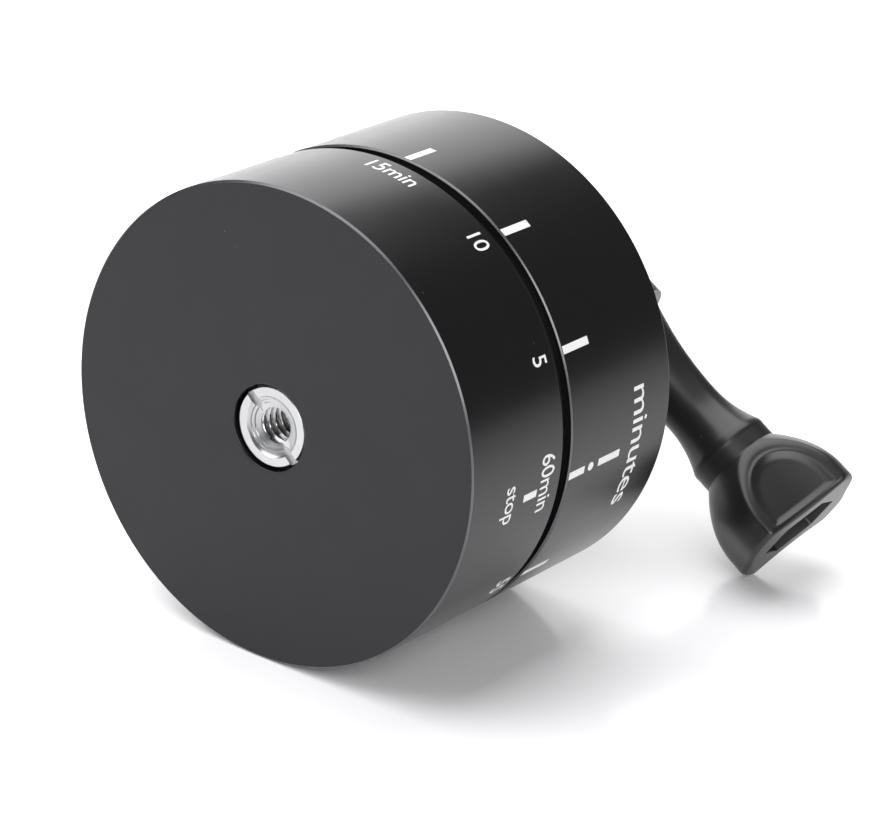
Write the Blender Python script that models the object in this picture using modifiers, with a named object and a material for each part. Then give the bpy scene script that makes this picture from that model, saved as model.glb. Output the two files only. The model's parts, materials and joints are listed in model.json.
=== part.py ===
"""Wind-up panning head for time-lapse photography, lying on its side.

Two black aluminium cups turn against each other on a glide ring. A sixty minute clockwork
movement stands on the base cup, and its arbor turns the head cup once an hour. The base cup has a
slotted 1/4 inch tripod bush. The head cup carries a 1/4 inch stud with a three-prong adapter and
its long thumbscrew, whose knob rests on the table.

Every piece is modelled on the dial axis: Z runs from the tripod face to the camera end, and the
angles run about Z from X. The empty called dial_axis then lays the whole head on its side, so that
dial Z becomes world +Y. Lengths are in metres.
"""

import math

import bmesh
import bpy
from mathutils import Matrix, Vector

# Housings
BODY_RADIUS = 0.0350
BASE_LENGTH = 0.0210
GROOVE_WIDTH = 0.0021
HEAD_LENGTH = 0.0245
WALL = 0.0026
FLOOR = 0.0040
EDGE_CHAMFER = 0.0003
LEDGE_HEIGHT = 0.0095
LEDGE_WIDTH = 0.0062
RING_WALL = 0.0018
RING_GRIP = 0.0024
LIP = 0.0015

# Fits
GAP = 0.0003
RUNNING = 0.00012

# Tripod bush, 1/4 inch inside and 3/8 inch outside
BUSH_FLANGE_RADIUS = 0.0060
BUSH_FLANGE = 0.0018
BUSH_BODY_RADIUS = 0.0046
BUSH_LENGTH = 0.0080
BUSH_BORE_RADIUS = 0.0028
BUSH_MOUTH_RADIUS = 0.0046
BUSH_MOUTH_DEPTH = 0.0013
BUSH_SUNK = 0.0006
BUSH_SLOT_WIDTH = 0.0012
BUSH_SLOT_DEPTH = 0.0010
BUSH_SLOT_ANGLE = math.radians(44.5)
BUSH_BOSS_RADIUS = 0.0090

# Clockwork: plates, pillars and levels above the tripod face
PLATE_CLEARANCE = 0.0034
PLATE_RADIUS = BODY_RADIUS - WALL - PLATE_CLEARANCE
PLATE = 0.0012
PLATE_SPACING = 0.0180
PILLAR_CIRCLE = PLATE_RADIUS - 0.0050
PILLAR_RADIUS = 0.0020
PILLAR_ANGLES = (20.0, 80.0, 140.0, 330.0)
SPIGOT_RADIUS = 0.0012
NUT_ACROSS_FLATS = 0.0045
NUT_HEIGHT = 0.0015
PLATE_SCREW_CIRCLE = PLATE_RADIUS - 0.0015
PLATE_SCREW_ANGLES = (50.0, 170.0, 290.0)
SCREW_RADIUS = 0.0010
SCREW_HEAD_RADIUS = 0.0019
SCREW_HEAD = 0.0012
SCREW_LENGTH = 0.0045
SCREW_SLOT = 0.0005
PIVOT_RADIUS = 0.0006
TRAIN_ARBOR_RADIUS = 0.0009

# Clockwork: spring and gear train
MAIN_ARBOR_RADIUS = 0.0030
MAIN_PIVOT_RADIUS = 0.0016
OUTPUT_RADIUS = 0.0024
ARBOR_FLAT = 0.0018
SPRING_STRIP = 0.0004
TRAIN_HEIGHT = 0.0100
SPRING_HEIGHT = PLATE_SPACING - TRAIN_HEIGHT
SPRING_OUTER_RADIUS = 0.0130
SPRING_TURNS = 5
MAIN_TEETH, MAIN_MODULE, MAIN_THICKNESS = 60, 0.0005, 0.0014
WHEEL_TOOTH = (0.52, 0.16, 0.85, 1.2)
PINION_TOOTH = (0.44, 0.18, 0.75, 1.15)
SECOND_TEETH, SECOND_MODULE, SECOND_THICKNESS = 48, 0.0004, 0.0010
THIRD_TEETH, THIRD_MODULE, THIRD_THICKNESS = 48, 0.00035, 0.0008
PINION_LEAVES = 8
PINION_EXTRA = 0.0006
WHEEL_GAP = 0.0012
TRAIN_ANGLE = math.radians(200.0)
TRAIN_CIRCLE = 0.0180
ESCAPE_TEETH, ESCAPE_RADIUS, ESCAPE_THICKNESS = 30, 0.0060, 0.0008
STAFF_DISTANCE = 0.0082
ESCAPE_ROOT_SHARE, ESCAPE_TIP_START, ESCAPE_TIP_END = 0.84, 0.10, 0.22
PALLET_REACH, PALLET_SPREAD, PALLET_TIP = 0.0073, math.radians(46.0), 0.0007
ANCHOR_HUB_WALL = 0.0009
CLUTCH_ARMS, CLUTCH_REACH, CLUTCH_RING, CLUTCH_ARM_HALF = 3, 0.0095, 0.0046, 0.0011
BALANCE_RADIUS = 0.0040
BALANCE_THICKNESS = 0.0014

# Output hub and camera stud
HUB_FLANGE_RADIUS = 0.0115
HUB_FLANGE = 0.0025
HUB_BARREL_RADIUS = 0.0055
HUB_LENGTH = 0.0090
HUB_SCREW_CIRCLE = 0.0084
STUD_RADIUS = 0.00317
STUD_HEIGHT = 0.0080
STUD_FLANGE_RADIUS = 0.0055
STUD_FLANGE = 0.0018
PAD_RADIUS = 0.0100
PAD = 0.0010
HEAD_SEAT_RADIUS = PAD_RADIUS + 0.0020
HEAD_SEAT = 0.0001

# Three-prong adapter
ADAPTER_BASE_RADIUS = 0.0105
ADAPTER_BASE = 0.0110
ADAPTER_CHAMFER = 0.0010
PRONG_ROOT = 0.0015
PRONG_TIP_STEPS = 14
PIVOT_HEIGHT = 0.0300
PRONG = 0.0030
PRONG_SLOT = 0.0032
PRONG_TIP_RADIUS = 0.0086
CLAMP_BOLT_RADIUS = 0.00235
PRONG_BORE_RADIUS = CLAMP_BOLT_RADIUS + GAP
INSERT_RADIUS = 0.0050
INSERT_LENGTH = 0.0076
NUT_BOSS_RADIUS = 0.0062
NUT_BOSS = 0.0034
CLAMP_NUT_ACROSS_FLATS = 0.0080
CLAMP_NUT_HEIGHT = 0.0040

# Thumbscrew, measured along its own axis from the adapter's pivot
THUMBSCREW_ANGLE = math.radians(31.8)
STEM_FOOT_RADIUS = 0.0072
WAIST_RADIUS = 0.0047
WAIST_PLACE = 0.0248
COLLAR_RADIUS = 0.0066
COLLAR_START = 0.0332
KNOB_START = 0.0361
KNOB_END = 0.0494
KNOB_RADIUS = 0.0112
KNOB_END_ROUND = 0.0010
DOME_LENGTH = 0.0104
DOME_STEPS = 7
SCOOP_RUN_OUT = 0.0010
KNOB_TURN = math.radians(31.0)
KNOB_HALF_THICKNESS = 0.0072
KNOB_HALF_WIDTH = 0.0104
PAD_SCOOP_RADIUS = 0.0260
RECESS_LENGTH = 0.0138
RECESS_WIDTH = 0.0080
RECESS_DEPTH = 0.0050
PLUG = 0.0022
BOLT_IN_HANDLE = 0.0250

# Facets
HOUSING_STEPS = 48
SMALL_STEPS = 20
ROUND_STEPS = 32
KNOB_STEPS = 32

TOP = BASE_LENGTH + GROOVE_WIDTH + HEAD_LENGTH
LOWER_PLATE = LEDGE_HEIGHT + GAP
LOWER_PLATE_TOP = LOWER_PLATE + PLATE
UPPER_PLATE = LOWER_PLATE_TOP + PLATE_SPACING
UPPER_PLATE_TOP = UPPER_PLATE + PLATE
ROOF = TOP - FLOOR
RING_RADIUS = BODY_RADIUS - LIP
SPRING_LEVEL = LOWER_PLATE_TOP + 2 * GAP
MAIN_LEVEL = SPRING_LEVEL + SPRING_HEIGHT + WHEEL_GAP
SECOND_LEVEL = MAIN_LEVEL + MAIN_THICKNESS + WHEEL_GAP
THIRD_LEVEL = SECOND_LEVEL + SECOND_THICKNESS + WHEEL_GAP + GAP
ESCAPE_LEVEL = SECOND_LEVEL - PINION_EXTRA
PIVOT_LEVEL = TOP + PIVOT_HEIGHT
STACK = (3 * PRONG + 2 * PRONG_SLOT) / 2


# ---------------------------------------------------------------- scene helpers


def clear_scene():
    for obj in list(bpy.data.objects):
        bpy.data.objects.remove(obj, do_unlink=True)
    for unused in list(bpy.data.collections):
        bpy.data.collections.remove(unused)


def new_collection(name):
    made = bpy.data.collections.new(name)
    bpy.context.scene.collection.children.link(made)
    return made


def new_material(name, color, roughness, metallic):
    made = bpy.data.materials.new(name)
    made.use_nodes = True
    shader = made.node_tree.nodes["Principled BSDF"]
    shader.inputs["Base Color"].default_value = (*color, 1.0)
    shader.inputs["Roughness"].default_value = roughness
    shader.inputs["Metallic"].default_value = metallic
    made.diffuse_color = (*color, 1.0)
    return made


def new_empty(name, parent=None, location=(0, 0, 0)):
    empty = bpy.data.objects.new(name, None)
    empty.empty_display_size = 0.005
    PARTS.objects.link(empty)
    empty.parent = parent
    empty.location = location
    return empty


def add_object(name, mesh, parent, finish, location=(0, 0, 0), angle=0.0):
    """Adds a piece, or a cutter when it has no finish."""
    obj = bpy.data.objects.new(name, mesh)
    obj.parent = parent
    obj.location = location
    obj.rotation_euler[2] = angle
    if finish is None:
        CUTTERS.objects.link(obj)
        obj.hide_render = True
        obj.display_type = "WIRE"
        return obj
    PARTS.objects.link(obj)
    mesh.materials.append(new_material(name, *finish))
    return obj


def turned(name, profile, parent, finish, steps=SMALL_STEPS, closed=True, **place):
    """A turned piece. Its profile runs down the outer side, then back up the bore."""
    mesh = bpy.data.meshes.new(name)
    count = len(profile)
    edges = [(i, i + 1) for i in range(count - 1)] + ([(count - 1, 0)] if closed else [])
    mesh.from_pydata([(r, 0.0, z) for r, z in profile], edges, [])
    obj = add_object(name, mesh, parent, finish, **place)
    screw = obj.modifiers.new("Turn", "SCREW")
    screw.steps = screw.render_steps = steps
    screw.use_merge_vertices = True
    screw.merge_threshold = 0.000001
    screw.use_smooth_shade = True
    return obj


def rod(name, radius, low, high, parent, finish, steps=SMALL_STEPS, **place):
    """A plain round bar between two heights, with its ends closed on the axis."""
    profile = [(0.0, high), (radius, high), (radius, low), (0.0, low)]
    return turned(name, profile, parent, finish, steps, closed=False, **place)


def flat(name, loops, low, high, parent, finish, **place):
    """A flat piece: closed outlines, the first one outside and the others holes, made a mesh."""
    curve = bpy.data.curves.new(name, "CURVE")
    curve.dimensions = "2D"
    curve.fill_mode = "BOTH"
    curve.extrude = (high - low) / 2
    for loop in loops:
        spline = curve.splines.new("POLY")
        spline.points.add(len(loop) - 1)
        for point, (x, y) in zip(spline.points, loop):
            point.co = (x, y, 0.0, 1.0)
        spline.use_cyclic_u = True
    drawn = bpy.data.objects.new(name + "_outline", curve)
    bpy.context.scene.collection.objects.link(drawn)
    bpy.context.view_layer.update()
    graph = bpy.context.evaluated_depsgraph_get()
    mesh = bpy.data.meshes.new_from_object(drawn.evaluated_get(graph))
    mesh.name = name
    mesh.transform(Matrix.Translation((0.0, 0.0, (low + high) / 2)))
    bpy.data.objects.remove(drawn)
    weld(mesh)
    return add_object(name, mesh, parent, finish, **place)


def weld(mesh):
    work = bmesh.new()
    work.from_mesh(mesh)
    bmesh.ops.remove_doubles(work, verts=work.verts, dist=0.000001)
    bmesh.ops.recalc_face_normals(work, faces=work.faces)
    work.to_mesh(mesh)
    work.free()


def boolean(obj, tool, operation="DIFFERENCE"):
    step = obj.modifiers.new(tool.name, "BOOLEAN")
    step.operation = operation
    step.solver = "EXACT"
    step.object = tool


def circle(radius, x=0.0, y=0.0, steps=SMALL_STEPS):
    turn = 2 * math.pi / steps
    return [(x + radius * math.cos(i * turn), y + radius * math.sin(i * turn)) for i in range(steps)]


def around(radius, angle):
    """The point on a circle about the dial axis, at an angle in radians."""
    return radius * math.cos(angle), radius * math.sin(angle)


def arc(centre_r, centre_z, radius, start, end, steps):
    """Profile points on an arc, from one angle to another in degrees."""
    turn = [math.radians(start + (end - start) * i / steps) for i in range(steps + 1)]
    return [(centre_r + radius * math.cos(t), centre_z + radius * math.sin(t)) for t in turn]


# ---------------------------------------------------------------- housings


def base_housing(parent):
    inner = BODY_RADIUS - WALL
    ledge = inner - LEDGE_WIDTH
    bush_hole = BUSH_BODY_RADIUS + GAP
    bush_seat = BUSH_FLANGE_RADIUS + GAP
    seat_depth = BUSH_SUNK + BUSH_FLANGE + GAP
    boss_top = BUSH_SUNK + BUSH_LENGTH + GAP
    profile = [
        (BODY_RADIUS - EDGE_CHAMFER, BASE_LENGTH),
        (BODY_RADIUS, BASE_LENGTH - EDGE_CHAMFER),
        (BODY_RADIUS, EDGE_CHAMFER),
        (BODY_RADIUS - EDGE_CHAMFER, 0.0),
        (bush_seat + EDGE_CHAMFER, 0.0),
        (bush_seat, EDGE_CHAMFER),
        (bush_seat, seat_depth),
        (bush_hole, seat_depth),
        (bush_hole, boss_top),
        (BUSH_BOSS_RADIUS, boss_top),
        (BUSH_BOSS_RADIUS, FLOOR),
        (ledge, FLOOR),
        (ledge, LEDGE_HEIGHT),
        (inner, LEDGE_HEIGHT),
        (inner, BASE_LENGTH - RING_GRIP - GAP),
        (RING_RADIUS + GAP, BASE_LENGTH - RING_GRIP - GAP),
        (RING_RADIUS + GAP, BASE_LENGTH),
    ]
    housing = turned("base_housing", profile, parent, BLACK_METAL, HOUSING_STEPS)
    for number, angle in enumerate(PLATE_SCREW_ANGLES, 1):
        hole = rod(
            f"plate_screw_hole_{number}",
            SCREW_RADIUS + RUNNING,
            LEDGE_HEIGHT - SCREW_LENGTH,
            LEDGE_HEIGHT + GAP,
            parent,
            None,
            steps=12,
            location=(*around(PLATE_SCREW_CIRCLE, math.radians(angle)), 0.0),
        )
        boolean(housing, hole)


def glide_ring(parent):
    low = BASE_LENGTH - RING_GRIP
    high = BASE_LENGTH + GROOVE_WIDTH + RING_GRIP
    outer, inner = RING_RADIUS, RING_RADIUS - RING_WALL
    profile = [(outer, high), (outer, low), (inner, low), (inner, high)]
    turned("glide_ring", profile, parent, BLACK_PLASTIC, HOUSING_STEPS)


def tripod_bush(parent):
    face = BUSH_SUNK
    end = BUSH_SUNK + BUSH_LENGTH
    profile = [
        (BUSH_BODY_RADIUS, end),
        (BUSH_BODY_RADIUS, face + BUSH_FLANGE),
        (BUSH_FLANGE_RADIUS, face + BUSH_FLANGE),
        (BUSH_FLANGE_RADIUS, face),
        (BUSH_MOUTH_RADIUS, face),
        (BUSH_BORE_RADIUS, face + BUSH_MOUTH_DEPTH),
        (BUSH_BORE_RADIUS, end),
    ]
    bush = turned("tripod_bush", profile, parent, STEEL, ROUND_STEPS)
    half = BUSH_FLANGE_RADIUS + GAP
    half_slot = BUSH_SLOT_WIDTH / 2
    outline = [(-half, -half_slot), (half, -half_slot), (half, half_slot), (-half, half_slot)]
    slot = flat(
        "bush_slot",
        [outline],
        face - GAP,
        face + BUSH_SLOT_DEPTH,
        parent,
        None,
        angle=BUSH_SLOT_ANGLE,
    )
    boolean(bush, slot)


def head_housing(parent):
    low = BASE_LENGTH + GROOVE_WIDTH
    inner = BODY_RADIUS - WALL
    stud_hole = STUD_RADIUS + GAP
    stud_seat = STUD_FLANGE_RADIUS + GAP
    seat_top = ROOF + STUD_FLANGE + GAP
    profile = [
        (BODY_RADIUS - EDGE_CHAMFER, TOP),
        (BODY_RADIUS, TOP - EDGE_CHAMFER),
        (BODY_RADIUS, low + EDGE_CHAMFER),
        (BODY_RADIUS - EDGE_CHAMFER, low),
        (RING_RADIUS + RUNNING, low),
        (RING_RADIUS + RUNNING, low + RING_GRIP + GAP),
        (inner, low + RING_GRIP + GAP),
        (inner, ROOF),
        (stud_seat, ROOF),
        (stud_seat, seat_top),
        (stud_hole, seat_top),
        (stud_hole, TOP - HEAD_SEAT),
        (HEAD_SEAT_RADIUS, TOP - HEAD_SEAT),
        (HEAD_SEAT_RADIUS, TOP),
    ]
    housing = turned("head_housing", profile, parent, BLACK_METAL, HOUSING_STEPS)
    for number in range(1, 4):
        hole = rod(
            f"hub_screw_hole_{number}",
            SCREW_RADIUS + RUNNING,
            ROOF - GAP,
            ROOF - HUB_FLANGE - GAP + SCREW_LENGTH + GAP,
            parent,
            None,
            steps=12,
            location=(*around(HUB_SCREW_CIRCLE, hub_screw_angle(number)), 0.0),
        )
        boolean(housing, hole)


def hub_screw_angle(number):
    return math.radians(120.0 * number)


# ---------------------------------------------------------------- clockwork frame


def arbor_places():
    """The centres of the train's arbors, each in mesh with the one before it."""
    second = around(pitch_distance(MAIN_TEETH, MAIN_MODULE), TRAIN_ANGLE)
    reach = pitch_distance(SECOND_TEETH, SECOND_MODULE)
    first = math.hypot(*second)
    spread = math.acos((first**2 + TRAIN_CIRCLE**2 - reach**2) / (2 * first * TRAIN_CIRCLE))
    third_angle = TRAIN_ANGLE + spread
    step = 2 * math.asin(pitch_distance(THIRD_TEETH, THIRD_MODULE) / (2 * TRAIN_CIRCLE))
    staff_step = 2 * math.asin(STAFF_DISTANCE / (2 * TRAIN_CIRCLE))
    return {
        "second": second,
        "third": around(TRAIN_CIRCLE, third_angle),
        "escape": around(TRAIN_CIRCLE, third_angle + step),
        "staff": around(TRAIN_CIRCLE, third_angle + step + staff_step),
    }


def pitch_distance(teeth, module):
    return module * (teeth + PINION_LEAVES) / 2


def direction(start, end):
    return math.atan2(end[1] - start[1], end[0] - start[0])


def plate_loops(centre_radius, with_screws):
    loops = [circle(PLATE_RADIUS, steps=HOUSING_STEPS), circle(centre_radius)]
    loops += [circle(PIVOT_RADIUS + RUNNING, *place, steps=12) for place in arbor_places().values()]
    for angle in PILLAR_ANGLES:
        place = around(PILLAR_CIRCLE, math.radians(angle))
        loops.append(circle(SPIGOT_RADIUS + GAP, *place, steps=12))
    if with_screws:
        loops.append(circle(PIVOT_RADIUS + GAP, *spring_post_place(), steps=12))
        for angle in PLATE_SCREW_ANGLES:
            place = around(PLATE_SCREW_CIRCLE, math.radians(angle))
            loops.append(circle(SCREW_RADIUS + GAP, *place, steps=12))
    return loops


def movement_plates(parent):
    lower = plate_loops(MAIN_PIVOT_RADIUS + RUNNING, True)
    flat("movement_lower_plate", lower, LOWER_PLATE, LOWER_PLATE_TOP, parent, BRASS)
    upper = plate_loops(OUTPUT_RADIUS + RUNNING, False)
    flat("movement_upper_plate", upper, UPPER_PLATE, UPPER_PLATE_TOP, parent, BRASS)


def hexagon(across_flats):
    return circle(across_flats / math.sqrt(3), steps=6)


def pillars(parent):
    foot, top = LOWER_PLATE_TOP + GAP, UPPER_PLATE - GAP
    spigot_end = UPPER_PLATE_TOP + GAP + NUT_HEIGHT + GAP
    profile = [
        (0.0, spigot_end),
        (SPIGOT_RADIUS, spigot_end),
        (SPIGOT_RADIUS, top),
        (PILLAR_RADIUS, top),
        (PILLAR_RADIUS, foot),
        (SPIGOT_RADIUS, foot),
        (SPIGOT_RADIUS, LOWER_PLATE),
        (0.0, LOWER_PLATE),
    ]
    nut_low = UPPER_PLATE_TOP + GAP
    nut_loops = [hexagon(NUT_ACROSS_FLATS), circle(SPIGOT_RADIUS + GAP, steps=12)]
    for number, angle in enumerate(PILLAR_ANGLES, 1):
        place = (*around(PILLAR_CIRCLE, math.radians(angle)), 0.0)
        turned(f"pillar_{number}", profile, parent, BRASS, 12, closed=False, location=place)
        nut_high = nut_low + NUT_HEIGHT
        flat(f"pillar_nut_{number}", nut_loops, nut_low, nut_high, parent, STEEL, location=place)


def cheese_screw(name, seat, length, parent, place, head_down=False):
    """A slotted screw whose head's flat side lies at the height of its seat."""
    sign = -1 if head_down else 1
    tip, crown = seat - sign * length, seat + sign * SCREW_HEAD
    profile = [
        (0.0, crown),
        (SCREW_HEAD_RADIUS, crown),
        (SCREW_HEAD_RADIUS, seat),
        (SCREW_RADIUS, seat),
        (SCREW_RADIUS, tip),
        (0.0, tip),
    ]
    if head_down:
        profile.reverse()
    screw = turned(name, profile, parent, STEEL, 12, closed=False, location=place)
    half, half_slot = SCREW_HEAD_RADIUS + GAP, SCREW_SLOT / 2
    outline = [(-half, -half_slot), (half, -half_slot), (half, half_slot), (-half, half_slot)]
    ends = sorted((crown + sign * GAP, crown - sign * SCREW_HEAD / 2))
    boolean(screw, flat(name + "_slot", [outline], *ends, parent, None, location=place))


def plate_screws(parent):
    seat = LOWER_PLATE_TOP + GAP
    for number, angle in enumerate(PLATE_SCREW_ANGLES, 1):
        place = (*around(PLATE_SCREW_CIRCLE, math.radians(angle)), 0.0)
        cheese_screw(f"plate_screw_{number}", seat, SCREW_LENGTH, parent, place)


def spring_post_place():
    radius = SPRING_OUTER_RADIUS + SPRING_STRIP / 2 + GAP + TRAIN_ARBOR_RADIUS
    return around(radius, TRAIN_ANGLE + math.pi)


def mainspring(parent):
    """A flat strip wound about the arbor, its outer end beside the post that holds it."""
    inner = MAIN_ARBOR_RADIUS + GAP + SPRING_STRIP / 2
    per_turn = 16
    count = SPRING_TURNS * per_turn
    curve = bpy.data.curves.new("mainspring", "CURVE")
    curve.dimensions = "2D"
    curve.fill_mode = "NONE"
    curve.extrude = SPRING_HEIGHT / 2
    spline = curve.splines.new("POLY")
    spline.points.add(count)
    for i, point in enumerate(spline.points):
        radius = inner + (SPRING_OUTER_RADIUS - inner) * i / count
        x, y = around(radius, TRAIN_ANGLE + math.pi + 2 * math.pi * i / per_turn)
        point.co = (x, y, 0.0, 1.0)
    drawn = bpy.data.objects.new("mainspring_line", curve)
    bpy.context.scene.collection.objects.link(drawn)
    bpy.context.view_layer.update()
    graph = bpy.context.evaluated_depsgraph_get()
    mesh = bpy.data.meshes.new_from_object(drawn.evaluated_get(graph))
    mesh.name = "mainspring"
    mesh.transform(Matrix.Translation((0.0, 0.0, SPRING_LEVEL + SPRING_HEIGHT / 2)))
    bpy.data.objects.remove(drawn)
    weld(mesh)
    spring = add_object("mainspring", mesh, parent, SPRING_STEEL)
    strip = spring.modifiers.new("Strip", "SOLIDIFY")
    strip.thickness = SPRING_STRIP
    strip.offset = 0.0


def spring_post(parent):
    top = SPRING_LEVEL + SPRING_HEIGHT
    foot = LOWER_PLATE_TOP + GAP
    profile = [
        (0.0, top),
        (TRAIN_ARBOR_RADIUS, top),
        (TRAIN_ARBOR_RADIUS, foot),
        (PIVOT_RADIUS, foot),
        (PIVOT_RADIUS, LOWER_PLATE),
        (0.0, LOWER_PLATE),
    ]
    place = (*spring_post_place(), 0.0)
    turned("spring_post", profile, parent, STEEL, 12, closed=False, location=place)


# ---------------------------------------------------------------- gear train


def toothed(teeth, module, root_share, tip_share, addendum, dedendum, phase):
    """A toothed outline. A tooth takes its shares of the pitch at its root and at its tip, and
    stands with its middle at the phase angle."""
    pitch_radius = module * teeth / 2
    rows = (
        (pitch_radius - dedendum * module, root_share),
        (pitch_radius + addendum * module, tip_share),
    )
    points = []
    for tooth in range(teeth):
        middle = phase + 2 * math.pi * tooth / teeth
        points += [around(r, middle - width * math.pi / teeth) for r, width in rows]
        points += [around(r, middle + width * math.pi / teeth) for r, width in reversed(rows)]
    return points


def wheel(name, teeth, module, thickness, level, bore, phase, parent, location=(0, 0, 0)):
    loops = [toothed(teeth, module, *WHEEL_TOOTH, phase), circle(bore)]
    flat(name, loops, level, level + thickness, parent, BRASS, location=location)


def pinion_arbor(name, module, level, thickness, phase, parent, place):
    """A train arbor with its pinion, between pivots that run in the two plates."""
    low, high = LOWER_PLATE_TOP + GAP, UPPER_PLATE - GAP
    profile = [
        (0.0, UPPER_PLATE_TOP),
        (PIVOT_RADIUS, UPPER_PLATE_TOP),
        (PIVOT_RADIUS, high),
        (TRAIN_ARBOR_RADIUS, high),
        (TRAIN_ARBOR_RADIUS, low),
        (PIVOT_RADIUS, low),
        (PIVOT_RADIUS, LOWER_PLATE),
        (0.0, LOWER_PLATE),
    ]
    location = (*place, 0.0)
    arbor = turned(name, profile, parent, STEEL, 12, closed=False, location=location)
    leaves = toothed(PINION_LEAVES, module, *PINION_TOOTH, phase)
    low, high = level - PINION_EXTRA, level + thickness + PINION_EXTRA
    pinion = flat(name + "_leaves", [leaves], low, high, parent, None, location=location)
    boolean(arbor, pinion, "UNION")


def main_arbor(parent):
    shoulder = UPPER_PLATE - GAP
    foot = LOWER_PLATE_TOP + GAP
    end = ROOF - GAP - GAP
    profile = [
        (0.0, end),
        (OUTPUT_RADIUS, end),
        (OUTPUT_RADIUS, shoulder),
        (MAIN_ARBOR_RADIUS, shoulder),
        (MAIN_ARBOR_RADIUS, foot),
        (MAIN_PIVOT_RADIUS, foot),
        (MAIN_PIVOT_RADIUS, LOWER_PLATE),
        (0.0, LOWER_PLATE),
    ]
    arbor = turned("main_arbor", profile, parent, STEEL, SMALL_STEPS, closed=False)
    near, far = ARBOR_FLAT, OUTPUT_RADIUS + GAP
    outline = [(near, -far), (far, -far), (far, far), (near, far)]
    low = ROOF - HUB_LENGTH
    boolean(arbor, flat("arbor_flat", [outline], low, end + GAP, parent, None))


def clutch_spring(parent):
    """Three bent arms on the arbor, which let the main wheel stand while the head is wound."""
    arms, reach, ring, half = CLUTCH_ARMS, CLUTCH_REACH, CLUTCH_RING, CLUTCH_ARM_HALF
    points = []
    for arm in range(arms):
        middle = 2 * math.pi * arm / arms
        spread = math.asin(half / ring)
        inner = [around(ring, middle - spread), around(reach, middle - half / reach)]
        outer = [around(reach, middle + half / reach), around(ring, middle + spread)]
        gap = 2 * math.pi / arms - 2 * spread
        bridge = [around(ring, middle + spread + gap * i / 6) for i in range(1, 6)]
        points += inner + outer + bridge
    high = MAIN_LEVEL - GAP
    loops = [points, circle(MAIN_ARBOR_RADIUS + GAP)]
    flat("clutch_spring", loops, high - SPRING_STRIP, high, parent, SPRING_STEEL)


def gear_train(head, bodies, places):
    centre = (0.0, 0.0)
    to_second = direction(centre, places["second"])
    to_third = direction(places["second"], places["third"])
    to_escape = direction(places["third"], places["escape"])
    half_leaf = math.pi / PINION_LEAVES
    bore = MAIN_ARBOR_RADIUS + GAP
    wheel("main_wheel", MAIN_TEETH, MAIN_MODULE, MAIN_THICKNESS, MAIN_LEVEL, bore, to_second, head)

    steps = (
        ("second", MAIN_MODULE, MAIN_LEVEL, MAIN_THICKNESS, to_second),
        ("third", SECOND_MODULE, SECOND_LEVEL, SECOND_THICKNESS, to_third),
        ("escape", THIRD_MODULE, THIRD_LEVEL, THIRD_THICKNESS, to_escape),
    )
    for name, module, level, thickness, line in steps:
        phase = line + math.pi + half_leaf
        parent = bodies[name]
        pinion_arbor(name + "_arbor", module, level, thickness, phase, parent, centre)
    bore = TRAIN_ARBOR_RADIUS + GAP
    second = (SECOND_TEETH, SECOND_MODULE, SECOND_THICKNESS, SECOND_LEVEL)
    wheel("second_wheel", *second, bore, to_third, bodies["second"])
    third = (THIRD_TEETH, THIRD_MODULE, THIRD_THICKNESS, THIRD_LEVEL)
    wheel("third_wheel", *third, bore, to_escape, bodies["third"])


def escape_wheel(parent):
    """A ratchet-like wheel: each tooth has one steep side and one long back."""
    root = ESCAPE_RADIUS * ESCAPE_ROOT_SHARE
    points = []
    for tooth in range(ESCAPE_TEETH):
        start = 2 * math.pi * tooth / ESCAPE_TEETH
        pitch = 2 * math.pi / ESCAPE_TEETH
        points.append(around(root, start))
        points.append(around(ESCAPE_RADIUS, start + pitch * ESCAPE_TIP_START))
        points.append(around(ESCAPE_RADIUS, start + pitch * ESCAPE_TIP_END))
    loops = [points, circle(TRAIN_ARBOR_RADIUS + GAP, steps=12)]
    high = ESCAPE_LEVEL + ESCAPE_THICKNESS
    flat("escape_wheel", loops, ESCAPE_LEVEL, high, parent, BRASS)


def pallet_anchor(parent, facing):
    """Two pallets on a bent arm. They stand clear of the wheel's teeth, one on each side."""
    reach, spread, pallet = PALLET_REACH, PALLET_SPREAD, PALLET_TIP
    tips = [
        (STAFF_DISTANCE - reach * math.cos(spread), side * reach * math.sin(spread))
        for side in (1, -1)
    ]
    hub = TRAIN_ARBOR_RADIUS + GAP + ANCHOR_HUB_WALL
    left, right = tips
    outline = [
        (left[0] + pallet, left[1]),
        (left[0], left[1] + pallet),
        (-hub * 0.6, hub),
        (-hub, 0.0),
        (-hub * 0.6, -hub),
        (right[0], right[1] - pallet),
        (right[0] + pallet, right[1]),
        (hub * 0.8, -hub * 0.75),
        (hub, 0.0),
        (hub * 0.8, hub * 0.75),
    ]
    outline.reverse()
    loops = [outline, circle(TRAIN_ARBOR_RADIUS + GAP, steps=12)]
    high = ESCAPE_LEVEL + ESCAPE_THICKNESS
    flat("pallet_anchor", loops, ESCAPE_LEVEL, high, parent, STEEL, angle=facing)


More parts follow.
